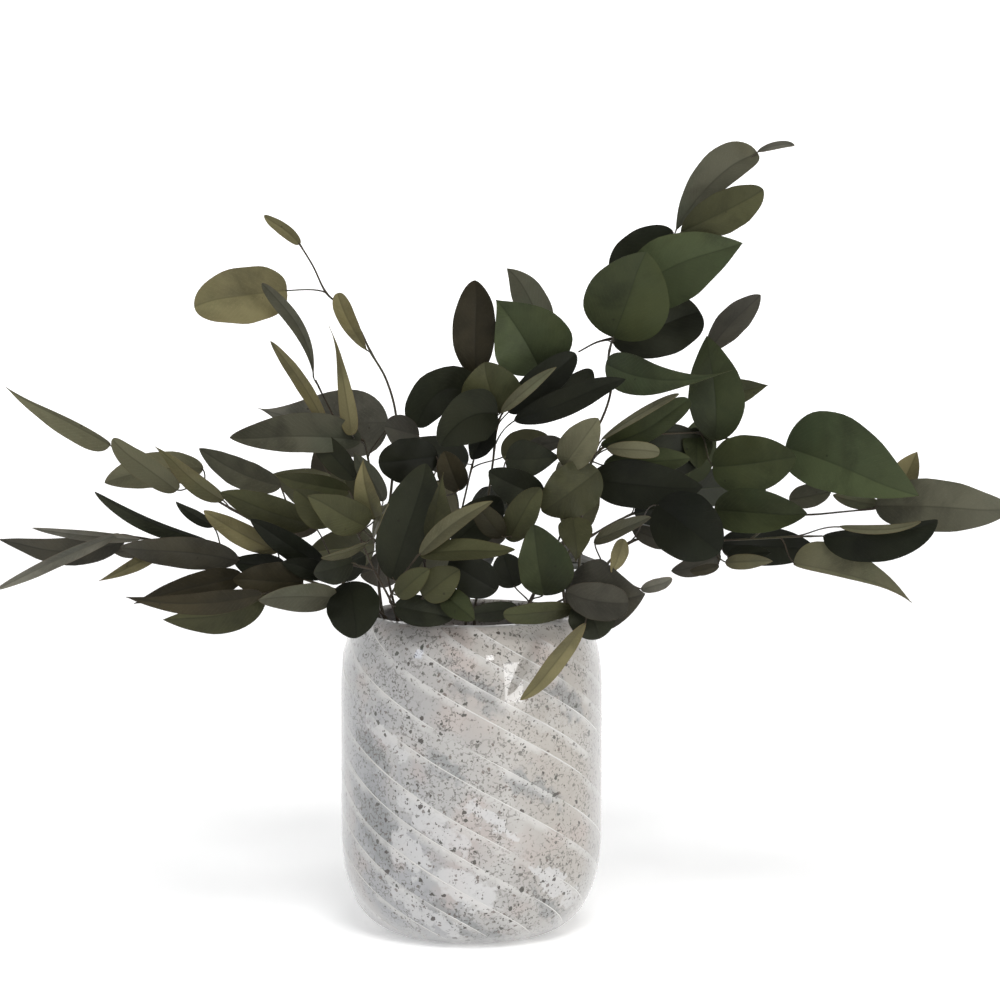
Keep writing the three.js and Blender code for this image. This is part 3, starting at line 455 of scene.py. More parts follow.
      [156, 98, 308, 172, 92, 358, 32, 175, 7, 0, 8, 42, "green"],
      [158, 102, 302, 214, 106, 304, 30, 170, 7, 0, 8, 42, "dark"],
      [132, 104, 292, 148, 126, 336, 32, 185, 7, 0, 8, 42, "grey"],
      [118, 90, 292, 104, 74, 334, 28, 170, 6, 0, 8, 42, "black"],
      [124, 102, 280, 172, 128, 272, 34, 165, 7, 0, 8, 42, "dark"],
      [82, 98, 278, 64, 128, 320, 30, 180, 7, 0, 8, 42, "grey"],
      [80, 92, 256, 70, 136, 244, 32, 190, 7, 0, 8, 42, "grey"],
      [72, 74, 272, 86, 68, 324, 28, 180, 6, 0, 8, 42, "olive"],
      [68, 88, 250, 68, 130, 240, 32, 170, 7, 0, 8, 42, "dark"],
      [118, 88, 286, 160, 70, 300, 26, 200, 6, 0, 8, 42, "black"],
    ],
  },
]

# Camera, floor and lights
CAMERA_PLACE = (20.1, -2400, 542)
CAMERA_AIM = (20.1, 0, 305)
CAMERA_LENS = 123.84
CAMERA_SENSOR = 36
CAMERA_REACH = 100
WORLD_STRENGTH = 0.35
SUN_STRENGTH = 1.3
SUN_ANGLE = math.radians(20)
SUN_AIM = (-0.15, 0.9, -1.0)
STAGE_RADIUS = 5200
STAGE_MIDDLE = 0.3
STAGE_BEND = 800
STAGE_BEND_STEPS = 8
STAGE_WALL = 2700
STAGE_COLUMNS = 96
STAGE_GLOW = 0.3

# The lamps that the glass mirrors: name, place, aim, width, height, radiance and colour
LAMPS = [
    ("window", (960, -1280, 300), (0, 0, 230), 460, 640, 7.0, (1, 1, 1)),
    ("lamp", (560, -1800, 930), (0, 0, 200), 220, 170, 12.0, (1, 1, 1)),
    ("sky", (-1330, -1150, 900), (0, 0, 200), 240, 320, 4.0, (0.62, 0.74, 1.0)),
]


def linear(red, green, blue):
    """An sRGB colour, 0 to 255 a channel, as the linear colour that a shader takes."""
    def channel(value):
        share = value / 255
        return share / 12.92 if share <= 0.04045 else ((share + 0.055) / 1.055) ** 2.4
    return (channel(red), channel(green), channel(blue), 1.0)


def tinted(colour, shares, added=(0.0, 0.0, 0.0)):
    """A linear colour with each channel multiplied by its share, and something added to it."""
    return tuple(c * share + more for c, share, more in zip(colour, shares, added)) + (1.0,)


def shaded(colour, share):
    """A linear colour made darker or lighter by a factor."""
    return tinted(colour, (share, share, share))


TONES = {
    "black": linear(24, 26, 17),
    "dark": linear(38, 40, 29),
    "brown": linear(47, 43, 30),
    "green": linear(49, 54, 33),
    "bright": linear(61, 68, 45),
    "olive": linear(61, 61, 40),
    "mauve": linear(61, 59, 51),
    "grey": linear(74, 73, 60),
    "pale": linear(90, 88, 68),
    "ash": linear(102, 100, 89),
    "light": linear(105, 99, 70),
}

# A leaf's finish, as shares of its tone's red, green and blue, and the lengths of its veins
LEAF_WARM = (1.16, 1.08, 0.85)
LEAF_COOL = (0.85, 1.03, 1.0)
LEAF_BEHIND = (1.2, 1.15, 1.25)
LEAF_BLOOM = (0.006, 0.006, 0.008)
LEAF_RIM = (0.9, 0.68, 0.55)
LEAF_SPOT = (0.012, 0.010, 0.007, 1.0)
VEIN_SLANT = 1.3
VEIN_WANDER = 6.0
VEIN_SPACING = 2.1
LEVEL_SEED = 3.77
LEVEL_SPREAD = 0.22
# Painted shade: which half of a blade is darker, and how much darker it is
SIDE_SEED = 7.31
PAINTED_SIDE_SHADE = 0.24

# Bark
BARK_DARK = linear(30, 25, 19)
BARK_LIGHT = linear(66, 56, 42)
BARK_GREEN = linear(60, 61, 40)
BARK_PORES = linear(98, 88, 70)

# Glass
GLASS_COOL = linear(163, 164, 166)
GLASS_WARM = linear(175, 169, 161)
GLASS_DRIFT = linear(188, 186, 182)
GLASS_PINK = linear(182, 168, 161)
GLASS_DUSKY = linear(128, 131, 132)
GLASS_CRACKLE = linear(88, 84, 78)
GLASS_MILKY = linear(204, 203, 203)
GLASS_TRAIL = linear(208, 206, 203)
GLASS_DUST = linear(84, 80, 76)
# The pale colour of the painted reflection at the vase's slanting edges
GLASS_SLANT_REFLECTION = linear(178, 177, 176)
GLASS_LEVEL = 0.82
GLASS_BEND = 0.005
GLASS_FRAY = 0.04
THREAD_DARK = linear(182, 180, 176)
THREAD_LIGHT = linear(200, 198, 195)

# Specks in the glass: how many to a metre, the share that shows, the largest radius and the soft rim
# in parts of a cell, how strong they are, and the two colours that they lie between
SPECKS = [
    (270, 0.55, 0.4, 0.1, 0.75, linear(92, 74, 66), linear(78, 80, 72)),
    (130, 0.75, 0.26, 0.04, 0.92, linear(54, 43, 38), linear(62, 64, 54)),
]


class Shader:
    """A material's node tree, with short calls for the nodes that these materials use."""

    def __init__(self, name):
        self.material = bpy.data.materials.new(name)
        self.material.use_nodes = True
        self.tree = self.material.node_tree

    def node(self, kind, *values, **settings):
        made = self.tree.nodes.new(kind)
        for key, value in settings.items():
            setattr(made, key, value)
        for socket, value in zip(made.inputs, values):
            self.feed(socket, value)
        return made

    def feed(self, socket, value):
        if isinstance(value, bpy.types.NodeSocket):
            self.tree.links.new(value, socket)
        else:
            socket.default_value = value

    def math(self, operation, *values):
        return self.node("ShaderNodeMath", *values, operation=operation).outputs[0]

    def plus(self, one, other):
        return self.math("ADD", one, other)

    def minus(self, one, other):
        return self.math("SUBTRACT", one, other)

    def times(self, one, other):
        return self.math("MULTIPLY", one, other)

    def vector(self, operation, *values):
        return self.node("ShaderNodeVectorMath", *values, operation=operation).outputs["Vector"]

    def shifted(self, place, amount):
        """The place moved by a different amount for each leaf or stem, so that no two look alike."""
        return self.vector("ADD", place, amount)

    def ramp(self, value, low, high):
        """0 below low, 1 above high, and smooth between them; high may be the lower one."""
        made = self.node("ShaderNodeMapRange", interpolation_type="SMOOTHSTEP")
        self.feed(made.inputs["Value"], value)
        flip = low > high
        made.inputs["From Min"].default_value = min(low, high)
        made.inputs["From Max"].default_value = max(low, high)
        made.inputs["To Min"].default_value = 1.0 if flip else 0.0
        made.inputs["To Max"].default_value = 0.0 if flip else 1.0
        return made.outputs["Result"]

    def mix(self, share, one, other, blend="MIX"):
        made = self.node("ShaderNodeMix", data_type="RGBA", blend_type=blend)
        self.feed(made.inputs[0], share)
        self.feed(made.inputs[6], one)
        self.feed(made.inputs[7], other)
        return made.outputs[2]

    def over(self, ground, colour, amount, strength):
        """The ground with a colour laid over it."""
        return self.mix(self.times(amount, strength), ground, colour)

    def attribute(self, name):
        return self.node("ShaderNodeAttribute", attribute_name=name).outputs["Fac"]

    def place(self):
        return self.node("ShaderNodeTexCoord").outputs["Object"]

    def noise(self, place, scale, detail=3.0, roughness=0.55, distortion=0.0, output="Fac"):
        made = self.node("ShaderNodeTexNoise", place)
        made.inputs["Scale"].default_value = scale
        made.inputs["Detail"].default_value = detail
        made.inputs["Roughness"].default_value = roughness
        made.inputs["Distortion"].default_value = distortion
        return made.outputs[output]

    def voronoi(self, place, scale, feature="F1"):
        made = self.node("ShaderNodeTexVoronoi", place, feature=feature)
        made.inputs["Scale"].default_value = scale
        return made

    def bump(self, height, distance, strength, under=None):
        made = self.node("ShaderNodeBump")
        self.feed(made.inputs["Height"], height)
        made.inputs["Distance"].default_value = distance
        made.inputs["Strength"].default_value = strength
        if under is not None:
            self.feed(made.inputs["Normal"], under)
        return made.outputs["Normal"]

    def finished(self, inputs):
        """The material, once its surface's inputs are set by name."""
        surface = self.tree.nodes["Principled BSDF"]
        for name, value in inputs.items():
            self.feed(surface.inputs[name], value)
        return self.material


def leaf_material(tone, colour):
    """A waxy dried blade: clouded, greyer behind, with a fine midrib, faint veins and a dry rim, and
    painted shade towards its base and on one half.
    """
    s = Shader("leaf_" + tone)
    along = s.attribute("along_mm")
    aside = s.attribute("across_mm")
    across = s.math("ABSOLUTE", aside)
    upper = s.attribute("upper_face")
    seed = s.attribute("seed")
    place = s.shifted(s.place(), seed)
    cloud = s.noise(place, 20, 4, 0.6, 0.5)
    body = s.mix(s.ramp(cloud, 0.32, 0.62), shaded(colour, 0.55), colour)
    blush = s.noise(s.shifted(place, (4.2, 1.3, 7.7)), 12)
    body = s.over(body, tinted(colour, LEAF_WARM), s.ramp(blush, 0.5, 0.72), 0.5)
    body = s.over(body, tinted(colour, LEAF_COOL), s.ramp(blush, 0.46, 0.3), 0.4)
    # Painted shade: each blade is darker towards its base, where it meets the wood
    body = s.over(body, shaded(colour, 0.45), s.ramp(along, 26.0, 2.0), 0.35)
    grain = s.noise(place, 800, 2)
    body = s.over(body, shaded(colour, 1.5), s.ramp(grain, 0.5, 0.8), 0.2)
    body = s.over(body, tinted(colour, LEAF_BEHIND, LEAF_BLOOM), s.minus(1.0, upper), 0.6)
    wander = s.times(s.minus(s.noise(place, 110, 2), 0.5), VEIN_WANDER)
    slant = s.plus(s.minus(along, s.times(across, VEIN_SLANT)), wander)
    cycle = s.math("PINGPONG", slant, VEIN_SPACING)
    veins = s.times(s.ramp(cycle, 0.4, 0.0), s.ramp(across, 0.6, 2.5))
    body = s.over(body, shaded(colour, 1.5), veins, 0.14)
    rib = s.mix(upper, shaded(colour, 1.55), shaded(colour, 0.6))
    body = s.over(body, rib, s.ramp(across, 0.75, 0.3), 0.6)
    rim = s.ramp(s.minus(s.attribute("half_mm"), across), 0.7, 0.1)
    body = s.over(body, tinted(colour, LEAF_RIM), rim, 0.5)
    spotted = s.math("GREATER_THAN", s.noise(place, 60, 1), 0.63)
    spot = s.times(s.ramp(s.voronoi(place, 130).outputs["Distance"], 0.16, 0.06), spotted)
    body = s.over(body, LEAF_SPOT, spot, 0.6)

    # Painted shade: one half of each blade is darker, as if it were turned away from the light, and some
    # leaves are lighter than others.
    painted_shade_side = s.math("GREATER_THAN", s.math("FRACT", s.times(seed, SIDE_SEED)), 0.5)
    painted_half_shade = s.math("ABSOLUTE", s.minus(s.ramp(aside, -0.5, 0.5), painted_shade_side))
    level = s.plus(s.times(s.math("FRACT", s.times(seed, LEVEL_SEED)), LEVEL_SPREAD), 1.0)
    level = s.minus(level, s.times(painted_half_shade, PAINTED_SIDE_SHADE))
    relief = s.bump(veins, 0.00012, 0.6)
    return s.finished({
        "Base Color": s.mix(1.0, body, level, "MULTIPLY"),
        "Roughness": s.plus(s.times(cloud, 0.25), 0.36),
        "Specular IOR Level": 0.12,
        "Normal": s.bump(s.noise(place, 300), 0.0002, 0.5, relief),
    })


def bark_material():
    """Dry stem bark: brown, streaked along its length, with greener stretches and small pale pores."""
    s = Shader("bark")
    seed = s.attribute("seed")
    place = s.shifted(s.place(), seed)
    along = s.times(s.attribute("along_mm"), 0.06)
    turn = s.times(s.attribute("across_mm"), 1.6)
    streak = s.noise(s.node("ShaderNodeCombineXYZ", along, turn, seed).outputs[0], 2.2, 4, 0.6)
    body = s.mix(s.ramp(streak, 0.3, 0.7), BARK_DARK, BARK_LIGHT)
    body = s.over(body, BARK_GREEN, s.ramp(s.noise(place, 16, 2), 0.5, 0.75), 0.6)
    pores = s.ramp(s.voronoi(place, 420).outputs["Distance"], 0.22, 0.1)
    return s.finished({
        "Base Color": s.over(body, BARK_PORES, pores, 0.5),
        "Roughness": 0.62,
        "Specular IOR Level": 0.35,
        "Normal": s.bump(pores, 0.00015, 0.6, s.bump(streak, 0.0003, 0.8)),
    })


def scattered(s, place, scale, share, largest, soft):
    """Round specks of mixed sizes: how much of one covers each place, and a random number for it."""
    cell = s.voronoi(place, scale)
    draw = s.node("ShaderNodeSeparateColor", cell.outputs["Color"])
    radius = s.times(s.ramp(draw.outputs[0], 1 - share, 1.0), largest)
    return s.ramp(s.minus(radius, cell.outputs["Distance"]), 0.0, soft), draw.outputs[1]


def patches(s, place, listed, core):
    """The greatest of several patches: each is 1 in its core, a share of it, and 0 at its border."""
    most = 0.0
    for middle, half_width, half_height in listed:
        moved = s.vector("SUBTRACT", place, tuple(value * MM for value in middle))
        shares = tuple(1 / (half * MM) for half in (half_width, PATCH_DEPTH, half_height))
        length = s.node("ShaderNodeVectorMath", s.vector("MULTIPLY", moved, shares), operation="LENGTH")
        most = s.math("MAXIMUM", most, s.ramp(length.outputs["Value"], 1.0, core))
    return most


def wound(s, place):
    """The place with its height followed along the threads to the front, and that height, in metres."""
    across, depth, height = s.node("ShaderNodeSeparateXYZ", place).outputs
    angle = s.math("ARCTAN2", across, s.times(depth, -1.0))
    level = s.plus(height, s.times(angle, THREAD_FALL * MM / (2 * math.pi)))
    return s.node("ShaderNodeCombineXYZ", across, depth, level).outputs[0], level


def below_thread(s, level):
    """How far a place lies below the nearest thread above it, in millimetres."""
    nearest = float(THREAD_FALL)
    for height in THREAD_HEIGHTS:
        gap = s.minus(float(height), s.math("DIVIDE", level, MM))
        nearest = s.math("MINIMUM", nearest, s.math("FLOORED_MODULO", gap, float(THREAD_FALL)))
    return nearest


def glass_material():
    """Cased art glass: a clear gloss coat over mottled grey with specks, crackle and milky bands, and a
    painted pale reflection where the wall is seen at a slant.
    """
    s = Shader("cased_glass")
    place = s.place()
    bend = (GLASS_BEND, GLASS_BEND, GLASS_BEND)
    bent = s.vector("MULTIPLY_ADD", s.noise(place, 260, 2, output="Color"), bend, place)
    flow, level = wound(s, place)
    fray = (GLASS_FRAY, GLASS_FRAY, GLASS_FRAY)
    evened = s.shifted(flow, tuple(-value / 2 for value in fray))
    frayed = s.vector("MULTIPLY_ADD", s.noise(place, 95, 4, output="Color"), fray, evened)

    # Slow changes of colour, and patches
    across, _, height = s.node("ShaderNodeSeparateXYZ", place).outputs
    warmth = s.plus(across, s.times(height, 0.35))
    ground = s.mix(s.ramp(warmth, -0.04, 0.12), GLASS_COOL, GLASS_WARM)
    drift = s.noise(place, 15, 3, 0.6, 0.8)
    ground = s.over(ground, GLASS_DRIFT, s.ramp(drift, 0.48, 0.66), 0.55)
    pink = s.noise(s.shifted(place, (3.1, 1.7, 0.4)), 26, 2)
    ground = s.over(ground, GLASS_PINK, s.ramp(pink, 0.5, 0.66), 0.5)
    dusky = patches(s, frayed, DUSKY_PATCHES, DUSKY_CORE)
    ground = s.over(ground, GLASS_DUSKY, dusky, 0.7)

    # Crackle, thicker in some places
    field = s.noise(s.shifted(place, (1.3, 8.2, 2.6)), 34, 3, 0.65, 0.5)
    busy = s.math("MAXIMUM", s.times(s.ramp(field, 0.36, 0.52), 0.8), dusky)
    web = s.voronoi(bent, 210, "DISTANCE_TO_EDGE").outputs["Distance"]
    broken = s.ramp(s.noise(place, 380, 1), 0.44, 0.56)
    crackle = s.times(s.times(s.ramp(web, 0.11, 0.03), broken), busy)
    ground = s.over(ground, GLASS_CRACKLE, crackle, 0.8)

    # Milky patches, and a milky trail below each thread
    ground = s.over(ground, GLASS_MILKY, patches(s, frayed, MILKY_PATCHES, MILKY_CORE), 0.7)
    ragged = s.times(s.minus(s.noise(place, 150), 0.5), 8.0)
    below = below_thread(s, level)
    trail = s.times(s.ramp(s.plus(below, ragged), 8.0, 1.0), s.ramp(below, 9.0, 6.0))
    streak = s.noise(s.shifted(place, (5.1, 2.2, 9.4)), 26, 2)
    steady = s.plus(s.times(s.ramp(streak, 0.38, 0.58), 0.55), 0.12)
    ground = s.over(ground, GLASS_TRAIL, trail, steady)

    # Dust and specks
    dust, _ = scattered(s, bent, 520, 0.6, 0.46, 0.16)
    ground = s.over(ground, GLASS_DUST, s.times(dust, s.plus(busy, 0.45)), 0.75)
    for scale, share, largest, soft, strength, one, other in SPECKS:
        speck, tint = scattered(s, bent, scale, share, largest, soft)
        ground = s.over(ground, s.mix(tint, one, other), speck, strength)

    # Painted reflection: a pale band laid into the colour where the wall is seen at a slant, standing in
    # for the clear casing mirroring the white surroundings
    facing = s.node("ShaderNodeLayerWeight", 0.5)
    painted_slant_reflection = s.ramp(facing.outputs["Facing"], 0.48, 0.68)
    ground = s.over(ground, GLASS_SLANT_REFLECTION, painted_slant_reflection, 0.5)
    level_grey = (GLASS_LEVEL, GLASS_LEVEL, GLASS_LEVEL, 1.0)
    return s.finished({
        "Base Color": s.mix(1.0, ground, level_grey, "MULTIPLY"),
        "Roughness": 0.35,
        "Specular IOR Level": 0.3,
        "Coat Weight": 1.0,
        "Coat Roughness": 0.03,
        "Coat IOR": 1.5,
        "Normal": s.bump(s.noise(place, 30, 2), 0.0006, 0.25),
    })


def thread_material():
    """The white glass threads: milky, glossy and slightly uneven."""
    s = Shader("white_thread")
    return s.finished({
        "Base Color": s.mix(s.noise(s.place(), 90), THREAD_DARK, THREAD_LIGHT),
        "Roughness": 0.22,
        "Coat Weight": 0.8,
        "Coat Roughness": 0.05,
    })


def stage_material():
    """The pale studio floor: matte and softly lit from within, with a faint unevenness."""
    s = Shader("pale_stage")
    cloud = s.noise(s.place(), 1.5, 2)
    return s.finished({
        "Base Color": s.mix(cloud, (0.93, 0.93, 0.93, 1.0), (0.96, 0.96, 0.955, 1.0)),
        "Roughness": 0.9,
        "Specular IOR Level": 0.1,
        "Emission Color": (1.0, 1.0, 1.0, 1.0),
        "Emission Strength": STAGE_GLOW,
    })


class Mesh:
    """A mesh under construction: vertices, faces, their materials, and values for the shaders."""

    def __init__(self, value_names=("along_mm", "across_mm", "half_mm", "seed", "upper_face")):
        self.vertices = []
        self.faces = []
        self.slots = []
        self.values = {name: [] for name in value_names}

    def add(self, place, along=0.0, across=0.0, half=0.0, seed=0.0, upper=0.0):
        """Adds a vertex, placed in millimetres, and returns its number."""
        self.vertices.append(place * MM)
        for name, value in zip(self.values, (along, across, half, seed, upper)):
            self.values[name].append(value)
        return len(self.vertices) - 1

    def face(self, corners, slot=0):
        self.faces.append(corners)
        self.slots.append(slot)

    def skin(self, rings):
        """Faces from each ring of vertices to the next; a ring may be a single vertex."""
        for low, high in zip(rings, rings[1:]):
            count = max(len(low), len(high))
            for here in range(count):
                beside = (here + 1) % count
                corners = [low[here % len(low)], low[beside % len(low)]]
                corners += [high[beside % len(high)], high[here % len(high)]]
                self.face(list(dict.fromkeys(corners)))

    def build(self, name, materials, crease_degrees=STEM_CREASE):
        data = bpy.data.meshes.new(name)
        data.from_pydata(self.vertices, [], self.faces)
        for values_name, values in self.values.items():
            layer = data.attributes.new(values_name, "FLOAT", "POINT")
            layer.data.foreach_set("value", values)
        for material in materials:
            data.materials.append(material)
        data.polygons.foreach_set("material_index", self.slots)
        data.polygons.foreach_set("use_smooth", [True] * len(self.faces))
        data.update()
        data.set_sharp_from_angle(angle=math.radians(crease_degrees))
        made = bpy.data.objects.new(name, data)
        bpy.context.scene.collection.objects.link(made)
        return made


def rounded(wide, narrow, t, power):
    """A rounded corner between two radii: t runs from 0 at the wide end to 1 at the narrow end."""
    return narrow + (wide - narrow) * max(0.0, 1 - t ** power) ** (1 / power)


def outside_radius(height):
    """The radius of the vase's outside at a height."""
    if height < CORNER_HEIGHT:
        return rounded(BODY_RADIUS, FOOT_RADIUS, 1 - height / CORNER_HEIGHT, CORNER_POWER)
    if height <= SHOULDER_START:
        return BODY_RADIUS
    t = min(1.0, (height - SHOULDER_START) / (VASE_HEIGHT - SHOULDER_START))
    return rounded(BODY_RADIUS, LIP_RADIUS, t, SHOULDER_POWER)


def eased(steps, low, high):
    """Places from low to high, closer together towards both ends."""
    return [low + (high - low) * (1 - math.cos(math.pi * i / steps)) / 2 for i in range(steps + 1)]


def on_vase(radius, angle, height):
    """A place at an angle round the upright axis, from the front."""
    return Vector((radius * math.sin(angle), -radius * math.cos(angle), height))


def vase_profile():
    """Radius and height along the wall, from the foot round the lip to the floor."""
    outline = [(0.0, 0.0), (FOOT_RADIUS / 2, 0.0), (FOOT_RADIUS - FOOT_BEVEL, 0.0)]
    heights = eased(CORNER_STEPS, 0.0, CORNER_HEIGHT)
    heights += eased(BODY_STEPS, CORNER_HEIGHT, SHOULDER_START)[1:]
    heights += eased(SHOULDER_STEPS, SHOULDER_START, VASE_HEIGHT - LIP_BEVEL)[1:]
    outline += [(outside_radius(height), height) for height in heights]
    outline += [
        (LIP_RADIUS - LIP_OUTSIDE[0], VASE_HEIGHT - LIP_OUTSIDE[1]),
        ((LIP_RADIUS + MOUTH_RADIUS) / 2, VASE_HEIGHT),
        (MOUTH_RADIUS + LIP_INSIDE[0], VASE_HEIGHT - LIP_INSIDE[1]),
        (MOUTH_RADIUS, THROAT_HEIGHT),
    ]
    inside = BODY_RADIUS - WALL
    for step in range(1, INSIDE_STEPS + 1):
        t = 1 - step / INSIDE_STEPS
        height = SHOULDER_START + (THROAT_HEIGHT - SHOULDER_START) * t
        outline.append((rounded(inside, MOUTH_RADIUS, t, SHOULDER_POWER), height))
    outline.append((inside, CORNER_HEIGHT))
    for step in range(1, INSIDE_STEPS + 1):
        t = step / INSIDE_STEPS
        height = CORNER_HEIGHT - (CORNER_HEIGHT - FLOOR_HEIGHT) * t
        outline.append((rounded(inside, FLOOR_RADIUS, t, CORNER_POWER), height))
    outline.append((0.0, FLOOR_HEIGHT))
    return outline


def vase_body(glass):
    """The vase's wall, turned round the upright axis."""
    mesh = Mesh(())
    rings = []
    for radius, height in vase_profile():
        columns = VASE_COLUMNS if radius > 0 else 1
        angles = [2 * math.pi * column / VASE_COLUMNS - math.pi for column in range(columns)]
        rings.append([mesh.add(on_vase(radius, angle, height)) for angle in angles])
    mesh.skin(rings)
    made = mesh.build("vase_body", [glass], VASE_CREASE)
    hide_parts("vase")
    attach(made, "root")


def tube(mesh, points, radii, sides, seed):
    """A closed round tube through the points, with a radius for each."""
    across = None
    reach = 0.0
    rings = []
    for i, (centre, radius) in enumerate(zip(points, radii)):
        ahead = (points[min(i + 1, len(points) - 1)] - points[max(i - 1, 0)]).normalized()
        if across is None:
            across = Vector((1, 0, 0)) if abs(ahead.x) < ALONG_X else Vector((0, 1, 0))
        across = (across - ahead * across.dot(ahead)).normalized()
        other = ahead.cross(across)
        if i:
            reach += (centre - points[i - 1]).length
        ring = []
        for k in range(sides):
            angle = 2 * math.pi * k / sides
            rim = centre + across * (radius * math.cos(angle)) + other * (radius * math.sin(angle))
            ring.append(mesh.add(rim, reach, math.cos(angle), radius, seed))
        rings.append(ring)
    mesh.skin(rings)
    mesh.face(list(reversed(rings[0])))
    mesh.face(rings[-1])


def vase_threads(white, rng):
    """The white threads, half sunk in the glass, each thinning and thickening as it goes."""
    mesh = Mesh()
    slope = math.hypot(1, 2 * math.pi * BODY_RADIUS / THREAD_FALL)
    for line in THREAD_HEIGHTS:
        top = min(VASE_HEIGHT - THREAD_TOP_GAP, line + THREAD_FALL / 2)
        steps = int((top - THREAD_FOOT) * slope / THREAD_STEP)
        start = rng.uniform(*THREAD_STARTS)
        for turn in (0, 1):
            points = []
            radii = []
            for i in range(steps + 1):
                height = top - (top - THREAD_FOOT) * i / steps
                angle = 2 * math.pi * (line + THREAD_FALL * turn - height) / THREAD_FALL
                if not -math.pi <= angle < math.pi + THREAD_OVERLAP:
                    continue
                points.append(on_vase(outside_radius(height) - THREAD_SINK, angle, height))
                quick = math.sin(start + i * THREAD_BEATS[0])
                slow = math.sin(start * 2 + i * THREAD_BEATS[1])
                swell = 1 - THREAD_SWELL + THREAD_SWELL * quick * slow
                ends = min(1.0, THREAD_END + min(i, steps - i) / THREAD_TAPER_STEPS)
                radii.append(THREAD_RADIUS * swell * ends)
            if len(points) > 3:
                tube(mesh, points, radii, THREAD_SIDES, start)
    made = mesh.build("vase_threads", [white], THREAD_CREASE)
    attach(made, "root")


def smoothstep(value, low, high):
    t = min(1.0, max(0.0, (value - low) / (high - low)))
    return t * t * (3 - 2 * t)


def point(place):
    """A place of the list, moved away from the eye as the bunch opens out."""
    x, y, z = place
    opening = 1 + OPENING * smoothstep(math.hypot(x, z - RIM_HEIGHT), OPENING_START, OPENING_END)
    depth = y * opening + LEAN * max(0, z - LEAN_START)
    return EYE + (Vector(place) - EYE) * ((depth - EYE.y) / (y - EYE.y))


def standing(stem):
    """The two points of a stem inside the vase: its cut foot, and where it leans on the lip."""
    if "centre" in stem:
        x, y = stem["centre"]
        return [Vector((x, y, FLOOR_HEIGHT + SEAT_GAP)), Vector((x, y, RIM_HEIGHT))]
    rim = math.radians(stem["rim"])
    foot = rim + CROSSING
    low = Vector((FOOT_RING * math.cos(foot), FOOT_RING * math.sin(foot), FLOOR_HEIGHT))
    high = Vector((RIM_RING * math.cos(rim), RIM_RING * math.sin(rim), RIM_HEIGHT))
    lean = (high - low).normalized()
    low.z += SEAT_GAP + STEM_RADIUS * math.hypot(lean.x, lean.y)
    return [low, high]


def smooth(points):
    """The centripetal Catmull-Rom curve through the points, as a line of short steps."""
    ends = [points[0] * 2 - points[1]] + points + [points[-1] * 2 - points[-2]]
    made = [points[0].copy()]
    for i in range(len(points) - 1):
        a, b, c, d = ends[i:i + 4]
        before, middle, after = [math.sqrt((q - p).length) for p, q in ((a, b), (b, c), (c, d))]
        leave = ((b - a) / before - (c - a) / (before + middle) + (c - b) / middle) * middle
        arrive = ((c - b) / middle - (d - b) / (middle + after) + (d - c) / after) * middle
        bend = (c - b) * 3 - leave * 2 - arrive
        turn = (b - c) * 2 + leave + arrive
        for k in range(1, CURVE_SAMPLES + 1):
            t = k / CURVE_SAMPLES
            made.append(b + leave * t + bend * t ** 2 + turn * t ** 3)
    return made


def spaced(fine, step):
    """Points evenly spaced along a line of points, about one step apart."""
    reach = [0.0]
    for here, there in zip(fine, fine[1:]):
        reach.append(reach[-1] + (there - here).length)
    steps = max(2, round(reach[-1] / step))
    made = []
    i = 1
    for k in range(steps + 1):
        goal = reach[-1] * k / steps
        while i < len(fine) - 1 and reach[i] < goal:
            i += 1
        share = (goal - reach[i - 1]) / (reach[i] - reach[i - 1])
        made.append(fine[i - 1].lerp(fine[i], share))
    return made


